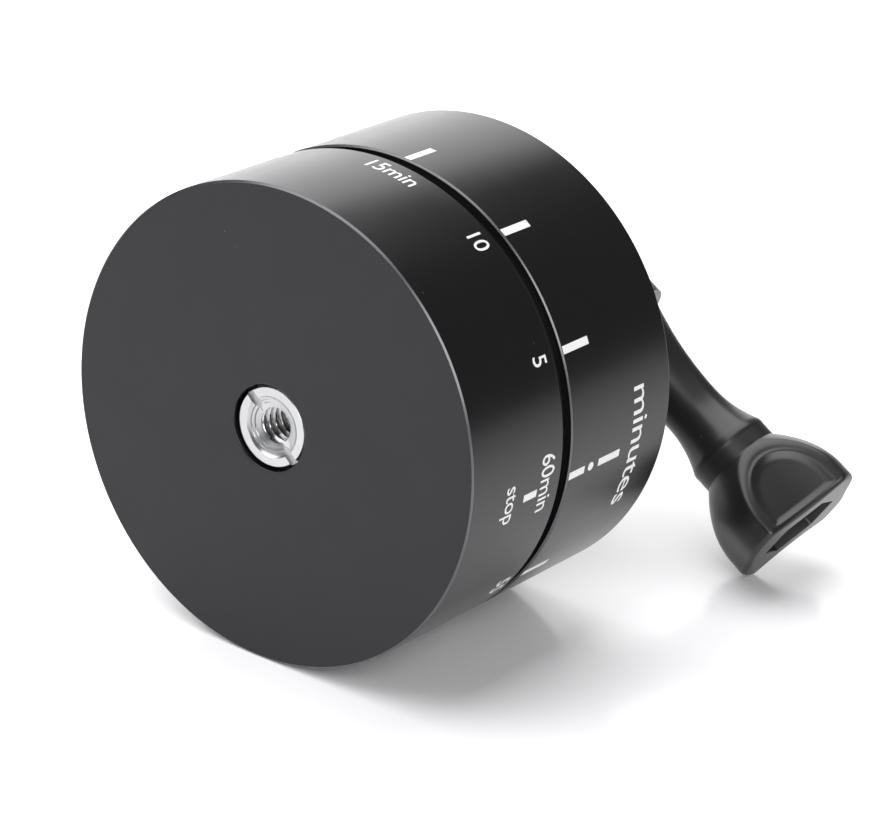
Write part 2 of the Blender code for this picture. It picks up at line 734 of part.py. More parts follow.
def balance(parent, facing):
    low, high = LOWER_PLATE_TOP + GAP, UPPER_PLATE - GAP
    profile = [
        (0.0, UPPER_PLATE_TOP),
        (PIVOT_RADIUS, UPPER_PLATE_TOP),
        (PIVOT_RADIUS, high),
        (TRAIN_ARBOR_RADIUS, high),
        (TRAIN_ARBOR_RADIUS, low),
        (PIVOT_RADIUS, low),
        (PIVOT_RADIUS, LOWER_PLATE),
        (0.0, LOWER_PLATE),
    ]
    turned("balance_staff", profile, parent, STEEL, 12, closed=False)
    level = LOWER_PLATE_TOP + BALANCE_THICKNESS
    rim = [
        (BALANCE_RADIUS, level + BALANCE_THICKNESS),
        (BALANCE_RADIUS, level),
        (TRAIN_ARBOR_RADIUS + GAP, level),
        (TRAIN_ARBOR_RADIUS + GAP, level + BALANCE_THICKNESS),
    ]
    turned("balance_wheel", rim, parent, BRASS, SMALL_STEPS)
    pallet_anchor(parent, facing)


# ---------------------------------------------------------------- output and camera end


def drive_hub(parent):
    """The flanged hub that joins the clockwork's arbor to the underside of the head."""
    high = ROOF - GAP
    flange_low = high - HUB_FLANGE
    low = ROOF - HUB_LENGTH
    bore = OUTPUT_RADIUS + GAP
    profile = [
        (HUB_FLANGE_RADIUS, high),
        (HUB_FLANGE_RADIUS, flange_low),
        (HUB_BARREL_RADIUS, flange_low),
        (HUB_BARREL_RADIUS, low),
        (bore, low),
        (bore, high),
    ]
    hub = turned("drive_hub", profile, parent, BRASS, ROUND_STEPS)
    for number in range(1, 4):
        place = (*around(HUB_SCREW_CIRCLE, hub_screw_angle(number)), 0.0)
        low_end, high_end = flange_low - GAP, high + GAP
        ends = (SCREW_RADIUS + GAP, low_end, high_end)
        boolean(hub, rod(f"hub_hole_{number}", *ends, parent, None, 12, location=place))
        seat = flange_low - GAP
        cheese_screw(f"hub_screw_{number}", seat, SCREW_LENGTH, parent, place, head_down=True)
    level = (low + flange_low) / 2
    lying = Matrix.Translation((0.0, 0.0, level)) @ Matrix.Rotation(math.pi / 2, 4, "Y")
    ends = (SCREW_RADIUS + GAP, 0.0, 2 * HUB_BARREL_RADIUS)
    bore_cut = rod("grub_screw_hole", *ends, parent, None, 12)
    bore_cut.matrix_local = lying
    boolean(hub, bore_cut)
    start = ARBOR_FLAT + GAP
    grub = rod("hub_grub_screw", SCREW_RADIUS, start, HUB_BARREL_RADIUS - GAP, parent, STEEL, 12)
    grub.matrix_local = lying


def camera_stud(parent):
    low = ROOF
    flange = low + STUD_FLANGE
    end = TOP + STUD_HEIGHT
    profile = [
        (0.0, end),
        (STUD_RADIUS - GAP, end),
        (STUD_RADIUS, end - GAP),
        (STUD_RADIUS, flange),
        (STUD_FLANGE_RADIUS, flange),
        (STUD_FLANGE_RADIUS, low),
        (0.0, low),
    ]
    turned("camera_stud", profile, parent, STEEL, SMALL_STEPS, closed=False)
    low, high = TOP + GAP, TOP + GAP + PAD
    bore = STUD_RADIUS + GAP
    pad = [(PAD_RADIUS, high), (PAD_RADIUS, low), (bore, low), (bore, high)]
    turned("rubber_pad", pad, parent, RUBBER, ROUND_STEPS)


def prong_outline(foot):
    """A prong seen from its side, from its foot up to its round tip about the pivot."""
    steps = PRONG_TIP_STEPS
    tip = [around(PRONG_TIP_RADIUS, math.pi * i / steps) for i in range(steps + 1)]
    return [(x, y + PIVOT_LEVEL) for x, y in tip] + [
        (-PRONG_TIP_RADIUS, foot),
        (PRONG_TIP_RADIUS, foot),
    ]


def three_prong_adapter(parent):
    low = TOP + 2 * GAP + PAD
    high = low + ADAPTER_BASE
    pocket = low + INSERT_LENGTH + GAP
    pocket_radius = INSERT_RADIUS + GAP
    profile = [
        (0.0, high),
        (ADAPTER_BASE_RADIUS - ADAPTER_CHAMFER, high),
        (ADAPTER_BASE_RADIUS, high - ADAPTER_CHAMFER),
        (ADAPTER_BASE_RADIUS, low + EDGE_CHAMFER),
        (ADAPTER_BASE_RADIUS - EDGE_CHAMFER, low),
        (pocket_radius, low),
        (pocket_radius, pocket),
        (0.0, pocket),
    ]
    adapter = turned("three_prong_adapter", profile, parent, BLACK_PLASTIC, 32, closed=False)
    foot = high - PRONG_ROOT
    upright = Matrix.Rotation(math.pi / 2, 4, "Y") @ Matrix.Rotation(math.pi / 2, 4, "Z")
    for number in range(3):
        middle = (number - 1) * (PRONG + PRONG_SLOT)
        start, end = middle - PRONG / 2, middle + PRONG / 2
        prong = flat(f"prong_{number + 1}", [prong_outline(foot)], start, end, parent, None)
        prong.matrix_local = upright
        boolean(adapter, prong, "UNION")
    across = Matrix.Translation((0.0, 0.0, PIVOT_LEVEL)) @ Matrix.Rotation(math.pi / 2, 4, "Y")
    boss_end = STACK + NUT_BOSS
    boss = rod("nut_boss", NUT_BOSS_RADIUS, -boss_end, -STACK + PRONG / 2, parent, None, ROUND_STEPS)
    bore = rod("clamp_bore", PRONG_BORE_RADIUS, -boss_end - GAP, STACK + GAP, parent, None)
    nut_loops = [hexagon(CLAMP_NUT_ACROSS_FLATS + 2 * GAP)]
    floor = -boss_end + CLAMP_NUT_HEIGHT + GAP
    socket = flat("nut_socket", nut_loops, -boss_end - GAP, floor, parent, None)
    for tool, operation in ((boss, "UNION"), (socket, "DIFFERENCE"), (bore, "DIFFERENCE")):
        tool.matrix_local = across
        boolean(adapter, tool, operation)
    insert = [
        (INSERT_RADIUS, low + INSERT_LENGTH),
        (INSERT_RADIUS, low + GAP),
        (STUD_RADIUS + RUNNING, low + GAP),
        (STUD_RADIUS + RUNNING, low + INSERT_LENGTH),
    ]
    turned("adapter_insert", insert, parent, BRASS, SMALL_STEPS)
    loops = [hexagon(CLAMP_NUT_ACROSS_FLATS), circle(CLAMP_BOLT_RADIUS + RUNNING)]
    nut = flat("clamp_nut", loops, -boss_end, -boss_end + CLAMP_NUT_HEIGHT, parent, STEEL)
    nut.matrix_local = across


# ---------------------------------------------------------------- thumbscrew


def sagged(low, high, low_radius, high_radius, steps):
    """Stem points between two places, hollow towards the first one, where the stem is straight."""
    points = []
    for i in range(1, steps + 1):
        share = i / steps
        points.append((low_radius + (high_radius - low_radius) * share**2, low + (high - low) * share))
    return points


def handle_profile():
    foot = STACK + GAP
    rim = KNOB_END - KNOB_END_ROUND
    profile = [(0.0, KNOB_END), (KNOB_RADIUS - KNOB_END_ROUND, KNOB_END)]
    profile += arc(KNOB_RADIUS - KNOB_END_ROUND, rim, KNOB_END_ROUND, 60, 0, 2)
    for i in range(DOME_STEPS + 1):
        share = i / DOME_STEPS
        radius = KNOB_RADIUS - (KNOB_RADIUS - COLLAR_RADIUS) * share**2
        profile.append((radius, KNOB_START + DOME_LENGTH * (1 - share)))
    profile.append((COLLAR_RADIUS, COLLAR_START))
    upper = sagged(WAIST_PLACE, COLLAR_START - GAP, WAIST_RADIUS, COLLAR_RADIUS, 5)
    profile += list(reversed(upper))
    profile.append((WAIST_RADIUS, WAIST_PLACE))
    profile += sagged(WAIST_PLACE, foot, WAIST_RADIUS, STEM_FOOT_RADIUS, 6)
    bolt_hole = CLAMP_BOLT_RADIUS + GAP
    profile += [(bolt_hole, foot), (bolt_hole, foot + BOLT_IN_HANDLE + GAP)]
    profile.append((0.0, foot + BOLT_IN_HANDLE + GAP))
    return profile


def long_hexagon(length, width):
    """A hexagon with two long sides, its points on the long axis."""
    end, side = length / 2, length / 2 - width / 2 / math.tan(math.radians(50))
    return [
        (end, 0.0),
        (side, width / 2),
        (-side, width / 2),
        (-end, 0.0),
        (-side, -width / 2),
        (side, -width / 2),
    ]


def thumbscrew(parent):
    handle = turned(
        "thumbscrew_handle",
        handle_profile(),
        parent,
        BLACK_PLASTIC,
        KNOB_STEPS,
        closed=False,
        angle=KNOB_TURN,
    )
    scoop_low = KNOB_START - SCOOP_RUN_OUT
    scoop_high = KNOB_END + SCOOP_RUN_OUT
    flats = (
        ("finger_scoop_1", 90.0, KNOB_HALF_THICKNESS),
        ("finger_scoop_2", 270.0, KNOB_HALF_THICKNESS),
        ("finger_scoop_3", 0.0, KNOB_HALF_WIDTH),
        ("finger_scoop_4", 180.0, KNOB_HALF_WIDTH),
    )
    for name, angle, distance in flats:
        place = around(distance + PAD_SCOOP_RADIUS, math.radians(angle) + KNOB_TURN)
        scoop = rod(
            name,
            PAD_SCOOP_RADIUS,
            scoop_low,
            scoop_high,
            parent,
            None,
            steps=72,
            location=(*place, 0.0),
        )
        boolean(handle, scoop)
    recess_floor = KNOB_END - RECESS_DEPTH
    outline = [long_hexagon(RECESS_LENGTH, RECESS_WIDTH)]
    top = KNOB_END + SCOOP_RUN_OUT
    recess = flat("end_recess", outline, recess_floor, top, parent, None, angle=KNOB_TURN)
    boolean(handle, recess)
    outline = [long_hexagon(RECESS_LENGTH - 2 * GAP, RECESS_WIDTH - 2 * GAP)]
    low = recess_floor + GAP
    flat("knob_plug", outline, low, low + PLUG, parent, BLACK_PLASTIC, angle=KNOB_TURN)
    start, end = -STACK - NUT_BOSS - GAP, STACK + GAP + BOLT_IN_HANDLE
    bolt = [
        (0.0, end),
        (CLAMP_BOLT_RADIUS, end),
        (CLAMP_BOLT_RADIUS, start + GAP),
        (CLAMP_BOLT_RADIUS - GAP, start),
        (0.0, start),
    ]
    turned("clamp_bolt", bolt, parent, STEEL, 20, closed=False)


# ---------------------------------------------------------------- assembly


def lay_on_side(axis):
    """Turns dial Z to world +Y, stands the head on z = 0 and centres it over the origin."""
    laid = Matrix.Rotation(-math.pi / 2, 4, "X")
    axis.matrix_world = laid
    bpy.context.view_layer.update()
    graph = bpy.context.evaluated_depsgraph_get()
    corners = []
    for obj in PARTS.objects:
        if obj.type != "MESH":
            continue
        made = obj.evaluated_get(graph)
        corners += [made.matrix_world @ vertex.co for vertex in made.data.vertices]
    low = Vector(min(c[i] for c in corners) for i in range(3))
    high = Vector(max(c[i] for c in corners) for i in range(3))
    shift = Vector((-(low.x + high.x) / 2, -(low.y + high.y) / 2, -low.z))
    axis.matrix_world = Matrix.Translation(shift) @ laid


def thumbscrew_frame():
    """The thumbscrew's own frame: its Z is the screw's axis and its X is the dial axis."""
    turn = THUMBSCREW_ANGLE
    along = Vector((math.cos(turn), math.sin(turn), 0.0))
    side = Vector((math.sin(turn), -math.cos(turn), 0.0))
    dial = Vector((0.0, 0.0, 1.0))
    frame = Matrix((dial, side, along)).transposed().to_4x4()
    return Matrix.Translation((0.0, 0.0, PIVOT_LEVEL)) @ frame


def build():
    axis = new_empty("dial_axis")
    base_housing(axis)
    glide_ring(axis)
    tripod_bush(axis)
    movement_plates(axis)
    pillars(axis)
    plate_screws(axis)
    mainspring(axis)
    spring_post(axis)

    head = new_empty("head_turn_axis", axis)
    head_housing(head)
    main_arbor(head)
    clutch_spring(head)
    drive_hub(head)
    camera_stud(head)

    places = arbor_places()
    bodies = {
        name: new_empty(name + "_axis", axis, (*place, 0.0)) for name, place in places.items()
    }
    gear_train(head, bodies, places)
    escape_wheel(bodies["escape"])
    balance(bodies["staff"], direction(places["staff"], places["escape"]))

    adapter = new_empty("adapter_axis", axis)
    adapter.rotation_euler[2] = THUMBSCREW_ANGLE
    three_prong_adapter(adapter)
    screw = new_empty("thumbscrew_axis", axis)
    screw.matrix_local = thumbscrew_frame()
    thumbscrew(screw)
    lay_on_side(axis)


BLACK_METAL = ((0.012, 0.012, 0.013), 0.38, 0.6)
BLACK_PLASTIC = ((0.015, 0.015, 0.016), 0.42, 0.0)
STEEL = ((0.62, 0.62, 0.63), 0.30, 1.0)
SPRING_STEEL = ((0.25, 0.27, 0.33), 0.30, 1.0)
BRASS = ((0.72, 0.52, 0.22), 0.35, 1.0)
RUBBER = ((0.020, 0.020, 0.020), 0.85, 0.0)

clear_scene()
PARTS = new_collection("panning_head")
CUTTERS = new_collection("cutters")
build()
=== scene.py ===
import json
import math

import bmesh
import bpy
from mathutils import Matrix, Vector


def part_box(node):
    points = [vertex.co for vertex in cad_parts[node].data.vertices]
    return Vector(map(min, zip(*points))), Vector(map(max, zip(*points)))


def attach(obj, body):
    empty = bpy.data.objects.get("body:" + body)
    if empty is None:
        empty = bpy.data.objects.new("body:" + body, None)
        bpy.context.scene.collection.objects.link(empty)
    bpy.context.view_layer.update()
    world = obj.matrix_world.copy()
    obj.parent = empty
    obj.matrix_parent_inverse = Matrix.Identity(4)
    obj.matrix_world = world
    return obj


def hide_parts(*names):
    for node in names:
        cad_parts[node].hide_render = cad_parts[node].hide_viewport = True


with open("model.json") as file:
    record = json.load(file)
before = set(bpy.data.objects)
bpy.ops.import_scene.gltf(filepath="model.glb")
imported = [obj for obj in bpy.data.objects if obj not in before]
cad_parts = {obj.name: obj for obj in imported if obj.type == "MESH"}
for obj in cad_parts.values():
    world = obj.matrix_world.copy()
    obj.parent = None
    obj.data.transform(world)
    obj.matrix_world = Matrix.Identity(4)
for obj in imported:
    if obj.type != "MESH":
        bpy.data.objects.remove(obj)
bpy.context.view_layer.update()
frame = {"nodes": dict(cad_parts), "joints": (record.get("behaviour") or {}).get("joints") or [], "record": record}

bl_info = {
    "name": "Panning Head Builder",
    "version": (1, 0, 0),
    "blender": (4, 5, 0),
    "location": "View3D > Sidebar > Panning Head",
    "description": "Builds the finished pieces of a wind-up panning head round its solid model",
    "category": "Add Mesh",
}

MM = 0.001

# ---------------- places taken from the solid model

BASE_LOW, BASE_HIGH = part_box("base_housing")
HEAD_LOW, HEAD_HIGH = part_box("head_housing")
RING_LOW, RING_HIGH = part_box("glide_ring")
BUSH_LOW, BUSH_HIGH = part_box("tripod_bush")
PAD_LOW, PAD_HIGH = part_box("rubber_pad")
STUD_LOW, STUD_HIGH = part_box("camera_stud")
JOINTS = {joint["name"]: joint for joint in frame["joints"]}

AXIS_X = (BASE_LOW[0] + BASE_HIGH[0]) / 2
AXIS_Z = (BASE_LOW[2] + BASE_HIGH[2]) / 2
FACE_Y = BASE_LOW[1]
RADIUS = (BASE_HIGH[2] - BASE_LOW[2]) / 2
BASE_LENGTH = BASE_HIGH[1] - FACE_Y
HEAD_START = HEAD_LOW[1] - FACE_Y
TOP = HEAD_HIGH[1] - FACE_Y
RING_RADIUS = (RING_HIGH[0] - RING_LOW[0]) / 2
PIVOT = Vector(JOINTS["thumbscrew_turn"]["pos_m"])
HANDLE_AXIS = Vector(JOINTS["thumbscrew_turn"]["axis"]).normalized()
DIAL_AXIS = Vector((0.0, 1.0, 0.0))

# The dial's own frame: Z runs from the tripod face to the camera end, Y points down.
DIAL = Matrix.Translation((AXIS_X, FACE_Y, AXIS_Z)) @ Matrix.Rotation(-math.pi / 2, 4, "X")
# The handle's own frame: Z runs out along the screw from the pivot, X is the dial axis.
HANDLE = Matrix.Translation(PIVOT) @ Matrix(
    (DIAL_AXIS, HANDLE_AXIS.cross(DIAL_AXIS), HANDLE_AXIS)
).transposed().to_4x4()
PIVOT_LEVEL = PIVOT.y - FACE_Y
HANDLE_TURN = math.atan2(-HANDLE_AXIS.z, HANDLE_AXIS.x)
# The prongs' own frame: Z is the dial axis, X the clamp bolt's axis.
PRONGS = DIAL @ Matrix.Rotation(HANDLE_TURN, 4, "Z")
# Across the prongs: Z is the clamp bolt's axis.
ACROSS = PRONGS @ Matrix.Translation((0, 0, PIVOT_LEVEL)) @ Matrix.Rotation(math.pi / 2, 4, "Y")

WALL = 2.6 * MM
FLOOR = 4.0 * MM
LEDGE_LEVEL = 9.5 * MM
LEDGE_RADIUS = 26.2 * MM
GAP = 0.3 * MM
RUNNING = 0.12 * MM
RING_GRIP = BASE_LENGTH - (RING_LOW[1] - FACE_Y)

INDEX_ANGLE = math.radians(5.4)
MINUTE = math.radians(6.0)


# ---------------- settings


def color_setting(name, description, default):
    return bpy.props.FloatVectorProperty(
        name=name, description=description, default=default, size=3, subtype="COLOR")


def length_setting(name, description, default):
    return bpy.props.FloatProperty(
        name=name, description=description, default=default, min=0.0, unit="LENGTH")


def number_setting(name, description, default):
    return bpy.props.FloatProperty(name=name, description=description, default=default)


class HousingSettings(bpy.types.PropertyGroup):
    rim_round: length_setting(
        "Rim round", "Size of the small round on each turned edge", 0.10 * MM)
    wall_color: color_setting(
        "Wall colour", "Colour of the anodised wall",
        (0.0040, 0.0040, 0.0044))
    face_color: color_setting(
        "Face colour", "Colour of the blasted end faces",
        (0.0078, 0.0066, 0.0092))
    wall_roughness: bpy.props.FloatProperty(
        name="Wall roughness", description="How dull the wall's gloss is",
        default=0.23, min=0.0, max=1.0, subtype="FACTOR")


class MarkSettings(bpy.types.PropertyGroup):
    ink_color: color_setting(
        "Ink colour", "Colour of the printed marks",
        (0.74, 0.74, 0.73))
    ink_height: length_setting(
        "Ink height", "How far the ink stands out of the wall", 0.02 * MM)
    digit_height: length_setting(
        "Digit height", "Height of the minute numbers", 3.15 * MM)
    word_height: length_setting(
        "Word height", "Height of the word on the head", 3.9 * MM)


class ThumbscrewSettings(bpy.types.PropertyGroup):
    waist_radius: length_setting(
        "Waist radius", "Thinnest radius of the stem", 4.7 * MM)
    crease: length_setting(
        "Crease round", "How softly the finger scoops run out into the knob", 0.9 * MM)
    dish_depth: length_setting(
        "Dish depth", "Depth of the dish in each wide finger pad", 0.28 * MM)
    plastic_color: color_setting(
        "Plastic colour", "Colour of the moulded plastic",
        (0.010, 0.0098, 0.0102))


class MetalSettings(bpy.types.PropertyGroup):
    thread_pitch: length_setting(
        "Tripod thread pitch", "Pitch of the quarter inch thread", 1.27 * MM)
    slot_width: length_setting(
        "Bush slot width", "Width of the driver slot in the tripod bush", 1.3 * MM)
    steel_color: color_setting(
        "Steel colour", "Colour of the turned steel",
        (0.70, 0.69, 0.67))
    bush_color: color_setting(
        "Bush colour", "Colour of the tripod bush",
        (0.46, 0.46, 0.47))
    brass_color: color_setting(
        "Brass colour", "Colour of the clockwork's brass",
        (0.78, 0.58, 0.27))


class StageSettings(bpy.types.PropertyGroup):
    floor_color: color_setting(
        "Floor colour", "Colour of the table",
        (0.90, 0.90, 0.915))
    lens: number_setting(
        "Lens", "Camera lens in millimetres", 141.45)
    sky: number_setting(
        "Room light", "Strength of the even light from the room", 0.14)
    overhead: number_setting(
        "Overhead light", "Power of the wide light over the table in watts", 18.0)
    back: number_setting(
        "Back light", "Power of the panel behind on the left in watts", 4.7)
    front: number_setting(
        "Front light", "Power of the soft light in front on the left in watts", 8.0)
    fill: number_setting(
        "Fill light", "Power of the soft light in front on the right in watts", 16.0)


# ---------------- mesh tools


def placed(name, data):
    """Puts a mesh, a text, a light or a camera into the scene as an object."""
    made = bpy.data.objects.new(name, data)
    bpy.context.scene.collection.objects.link(made)
    return made


def link(name, mesh, body, stands_for=()):
    """Makes a finished piece of a mesh, in its final place."""
    piece = placed(name, mesh)
    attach(piece, body)
    if stands_for:
        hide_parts(*stands_for)
    return piece


def to_mesh(shape, name, place, materials, smooth_angle=35.0):
    """Turns a bmesh into a mesh in its final place, smooth but for its sharp edges."""
    bmesh.ops.remove_doubles(shape, verts=shape.verts, dist=1e-7)
    bmesh.ops.recalc_face_normals(shape, faces=shape.faces)
    shape.transform(place)
    limit = math.radians(smooth_angle)
    for face in shape.faces:
        face.smooth = True
    for edge in shape.edges:
        if len(edge.link_faces) == 2:
            edge.smooth = edge.calc_face_angle(0.0) < limit
    mesh = bpy.data.meshes.new(name)
    for material in materials:
        mesh.materials.append(material)
    shape.to_mesh(mesh)
    shape.free()
    return mesh


def spun(profile, steps, closed=True):
    """A turned shape about Z from (radius, height) points, as a bmesh."""
    shape = bmesh.new()
    points = [shape.verts.new((radius, 0.0, height)) for radius, height in profile]
    pairs = list(zip(points, points[1:]))
    if closed:
        pairs.append((points[-1], points[0]))
    edges = [shape.edges.new(pair) for pair in pairs]
    bmesh.ops.spin(
        shape, geom=points + edges, cent=(0, 0, 0), axis=(0, 0, 1),
        angle=2 * math.pi, steps=steps, use_merge=True)
    bmesh.ops.remove_doubles(shape, verts=shape.verts, dist=1e-7)
    bmesh.ops.recalc_face_normals(shape, faces=shape.faces)
    return shape


def plate(loop, low, high):
    """A flat closed outline pushed up from one height to another, as a bmesh."""
    shape = bmesh.new()
    face = shape.faces.new([shape.verts.new((x, y, low)) for x, y in loop])
    raised = bmesh.ops.extrude_face_region(shape, geom=[face])["geom"]
    verts = [item for item in raised if isinstance(item, bmesh.types.BMVert)]
    bmesh.ops.translate(shape, verts=verts, vec=(0, 0, high - low))
    bmesh.ops.recalc_face_normals(shape, faces=shape.faces)
    return shape


def soften(piece, width, segments=2, angle=30.0):
    """Gives the piece's sharp edges a small round."""
    round_off = piece.modifiers.new("Round", "BEVEL")
    round_off.width = width
    round_off.segments = segments
    round_off.limit_method = "ANGLE"
    round_off.angle_limit = math.radians(angle)
    round_off.harden_normals = True


def combined(name, main, tools, place, materials, smooth_angle=35.0):
    """Joins and cuts a bmesh with others, exactly, and returns the mesh in its final place."""
    def temporary(shape):
        mesh = bpy.data.meshes.new("work")
        shape.to_mesh(mesh)
        shape.free()
        return placed("work", mesh)

    body = temporary(main)
    helpers = []
    for shape, operation in tools:
        helper = temporary(shape)
        step = body.modifiers.new("Step", "BOOLEAN")
        step.operation = operation
        step.solver = "EXACT"
        step.object = helper
        helpers.append(helper)
    bpy.context.view_layer.update()
    graph = bpy.context.evaluated_depsgraph_get()
    result = bpy.data.meshes.new_from_object(body.evaluated_get(graph))
    shape = bmesh.new()
    shape.from_mesh(result)
    for unused in helpers + [body]:
        data = unused.data
        bpy.data.objects.remove(unused)
        bpy.data.meshes.remove(data)
    bpy.data.meshes.remove(result)
    return to_mesh(shape, name, place, materials, smooth_angle)


def move_out(vert, scale):
    """Moves a point straight out from the Z axis, or in to it."""
    vert.co.x *= scale
    vert.co.y *= scale


def cut_thread(shape, low, high, minor, major, pitch, near):
    """Winds a thread into the round wall of a spun shape, between two heights of it.

    A wall point within a little of the radius near is moved in or out between minor and major.
    The thread fades over its first and last half pitch.
    """
    for vert in shape.verts:
        radius = math.hypot(vert.co.x, vert.co.y)
        if not low <= vert.co.z <= high or abs(radius - near) > 0.15 * MM:
            continue
        turn = math.atan2(vert.co.y, vert.co.x) / (2 * math.pi)
        share = ((vert.co.z - low) / pitch - turn) % 1.0
        tooth = min(1.0, max(0.0, 1.25 - abs(share - 0.5) * 2 * 1.45))
        fade = min(1.0, (vert.co.z - low) / (0.5 * pitch), (high - vert.co.z) / (0.5 * pitch))
        start = minor if near == minor else major
        target = minor + (major - minor) * tooth
        scale = (start + (target - start) * max(0.0, fade)) / radius
        move_out(vert, scale)


def heights(low, high, count):
    return [low + (high - low) * i / count for i in range(count + 1)]


def hexagon(across_flats, turn=0.0):
    radius = across_flats / math.sqrt(3)
    return [
        (radius * math.cos(turn + i * math.pi / 3), radius * math.sin(turn + i * math.pi / 3))
        for i in range(6)
    ]


def circle(radius, steps):
    return [
        (radius * math.cos(2 * math.pi * i / steps), radius * math.sin(2 * math.pi * i / steps))
        for i in range(steps)
    ]


# ---------------- finishes


def math_node(tree, operation, first, second=None, clamp=False):
    node = tree.nodes.new("ShaderNodeMath")
    node.operation = operation
    node.use_clamp = clamp
    for socket, value in zip(node.inputs, (first, second)):
        if value is None:
            continue
        if isinstance(value, bpy.types.NodeSocket):
            tree.links.new(value, socket)
        else:
            socket.default_value = value
    return node.outputs[0]


def preset(node, values):
    for label, value in values.items():
        node.inputs[label].default_value = value


def noise(tree, vector, detail, scale=1.0):
    node = tree.nodes.new("ShaderNodeTexNoise")
    preset(node, {"Scale": scale, "Detail": detail})
    tree.links.new(vector, node.inputs["Vector"])
    return node


def new_group(name, inputs, outputs):
    tree = bpy.data.node_groups.new(name, "ShaderNodeTree")
    for label, kind, default in inputs:
        socket = tree.interface.new_socket(name=label, in_out="INPUT", socket_type=kind)
        if default is not None:
            socket.default_value = default
    for label, kind in outputs:
        tree.interface.new_socket(name=label, in_out="OUTPUT", socket_type=kind)
    return tree, tree.nodes.new("NodeGroupInput"), tree.nodes.new("NodeGroupOutput")


def turned_marks_group():
    """Fine rings and lines left by the lathe about Z, with slow waves in their depth."""
    tree, given, result = new_group(
        "turned_marks",
        [("Vector", "NodeSocketVector", None), ("Lines per mm", "NodeSocketFloat", 8.0)],
        [("Height", "NodeSocketFloat"), ("Sheen", "NodeSocketFloat")])
    split = tree.nodes.new("ShaderNodeSeparateXYZ")
    tree.links.new(given.outputs["Vector"], split.inputs[0])
    square_x = math_node(tree, "MULTIPLY", split.outputs["X"], split.outputs["X"])
    square_y = math_node(tree, "MULTIPLY", split.outputs["Y"], split.outputs["Y"])
    radius = math_node(tree, "SQRT", math_node(tree, "ADD", square_x, square_y))
    per_metre = math_node(tree, "MULTIPLY", given.outputs["Lines per mm"], 1000.0)
    join = tree.nodes.new("ShaderNodeCombineXYZ")
    tree.links.new(math_node(tree, "MULTIPLY", radius, per_metre), join.inputs["X"])
    tree.links.new(math_node(tree, "MULTIPLY", split.outputs["Z"], per_metre), join.inputs["Y"])
    lines = noise(tree, join.outputs[0], 3.0)
    lines.noise_dimensions = "2D"
    waves = noise(tree, given.outputs["Vector"], 2.0, 90.0)
    tree.links.new(lines.outputs["Fac"], result.inputs["Height"])
    tree.links.new(waves.outputs["Fac"], result.inputs["Sheen"])
    return tree


def fine_grain_group():
    """An even fine grain, as a blasted, moulded or anodised skin has, and its slow mottling."""
    tree, given, result = new_group(
        "fine_grain",
        [("Vector", "NodeSocketVector", None), ("Grain", "NodeSocketFloat", 9000.0)],
        [("Height", "NodeSocketFloat"), ("Mottle", "NodeSocketFloat")])
    grain = noise(tree, given.outputs["Vector"], 2.0)
    grain.inputs["Roughness"].default_value = 0.6
    tree.links.new(given.outputs["Grain"], grain.inputs["Scale"])
    mottle = noise(tree, given.outputs["Vector"], 4.0, 160.0)
    tree.links.new(grain.outputs["Fac"], result.inputs["Height"])
    tree.links.new(mottle.outputs["Fac"], result.inputs["Mottle"])
    return tree


def specks_group():
    """Sparse tiny specks of dust."""
    tree, given, result = new_group(
        "specks",
        [("Vector", "NodeSocketVector", None), ("Cells", "NodeSocketFloat", 420.0),
         ("Size", "NodeSocketFloat", 0.05)],
        [("Mask", "NodeSocketFloat")])
    cells = tree.nodes.new("ShaderNodeTexVoronoi")
    cells.feature = "F1"
    tree.links.new(given.outputs["Vector"], cells.inputs["Vector"])
    tree.links.new(given.outputs["Cells"], cells.inputs["Scale"])
    split = tree.nodes.new("ShaderNodeSeparateColor")
    tree.links.new(cells.outputs["Color"], split.inputs[0])
    chosen = math_node(tree, "GREATER_THAN", split.outputs["Red"], 0.72)
    size = math_node(tree, "MULTIPLY", given.outputs["Size"], split.outputs["Green"])
    near = math_node(tree, "LESS_THAN", cells.outputs["Distance"], size)
    tree.links.new(math_node(tree, "MULTIPLY", chosen, near), result.inputs["Mask"])
    return tree


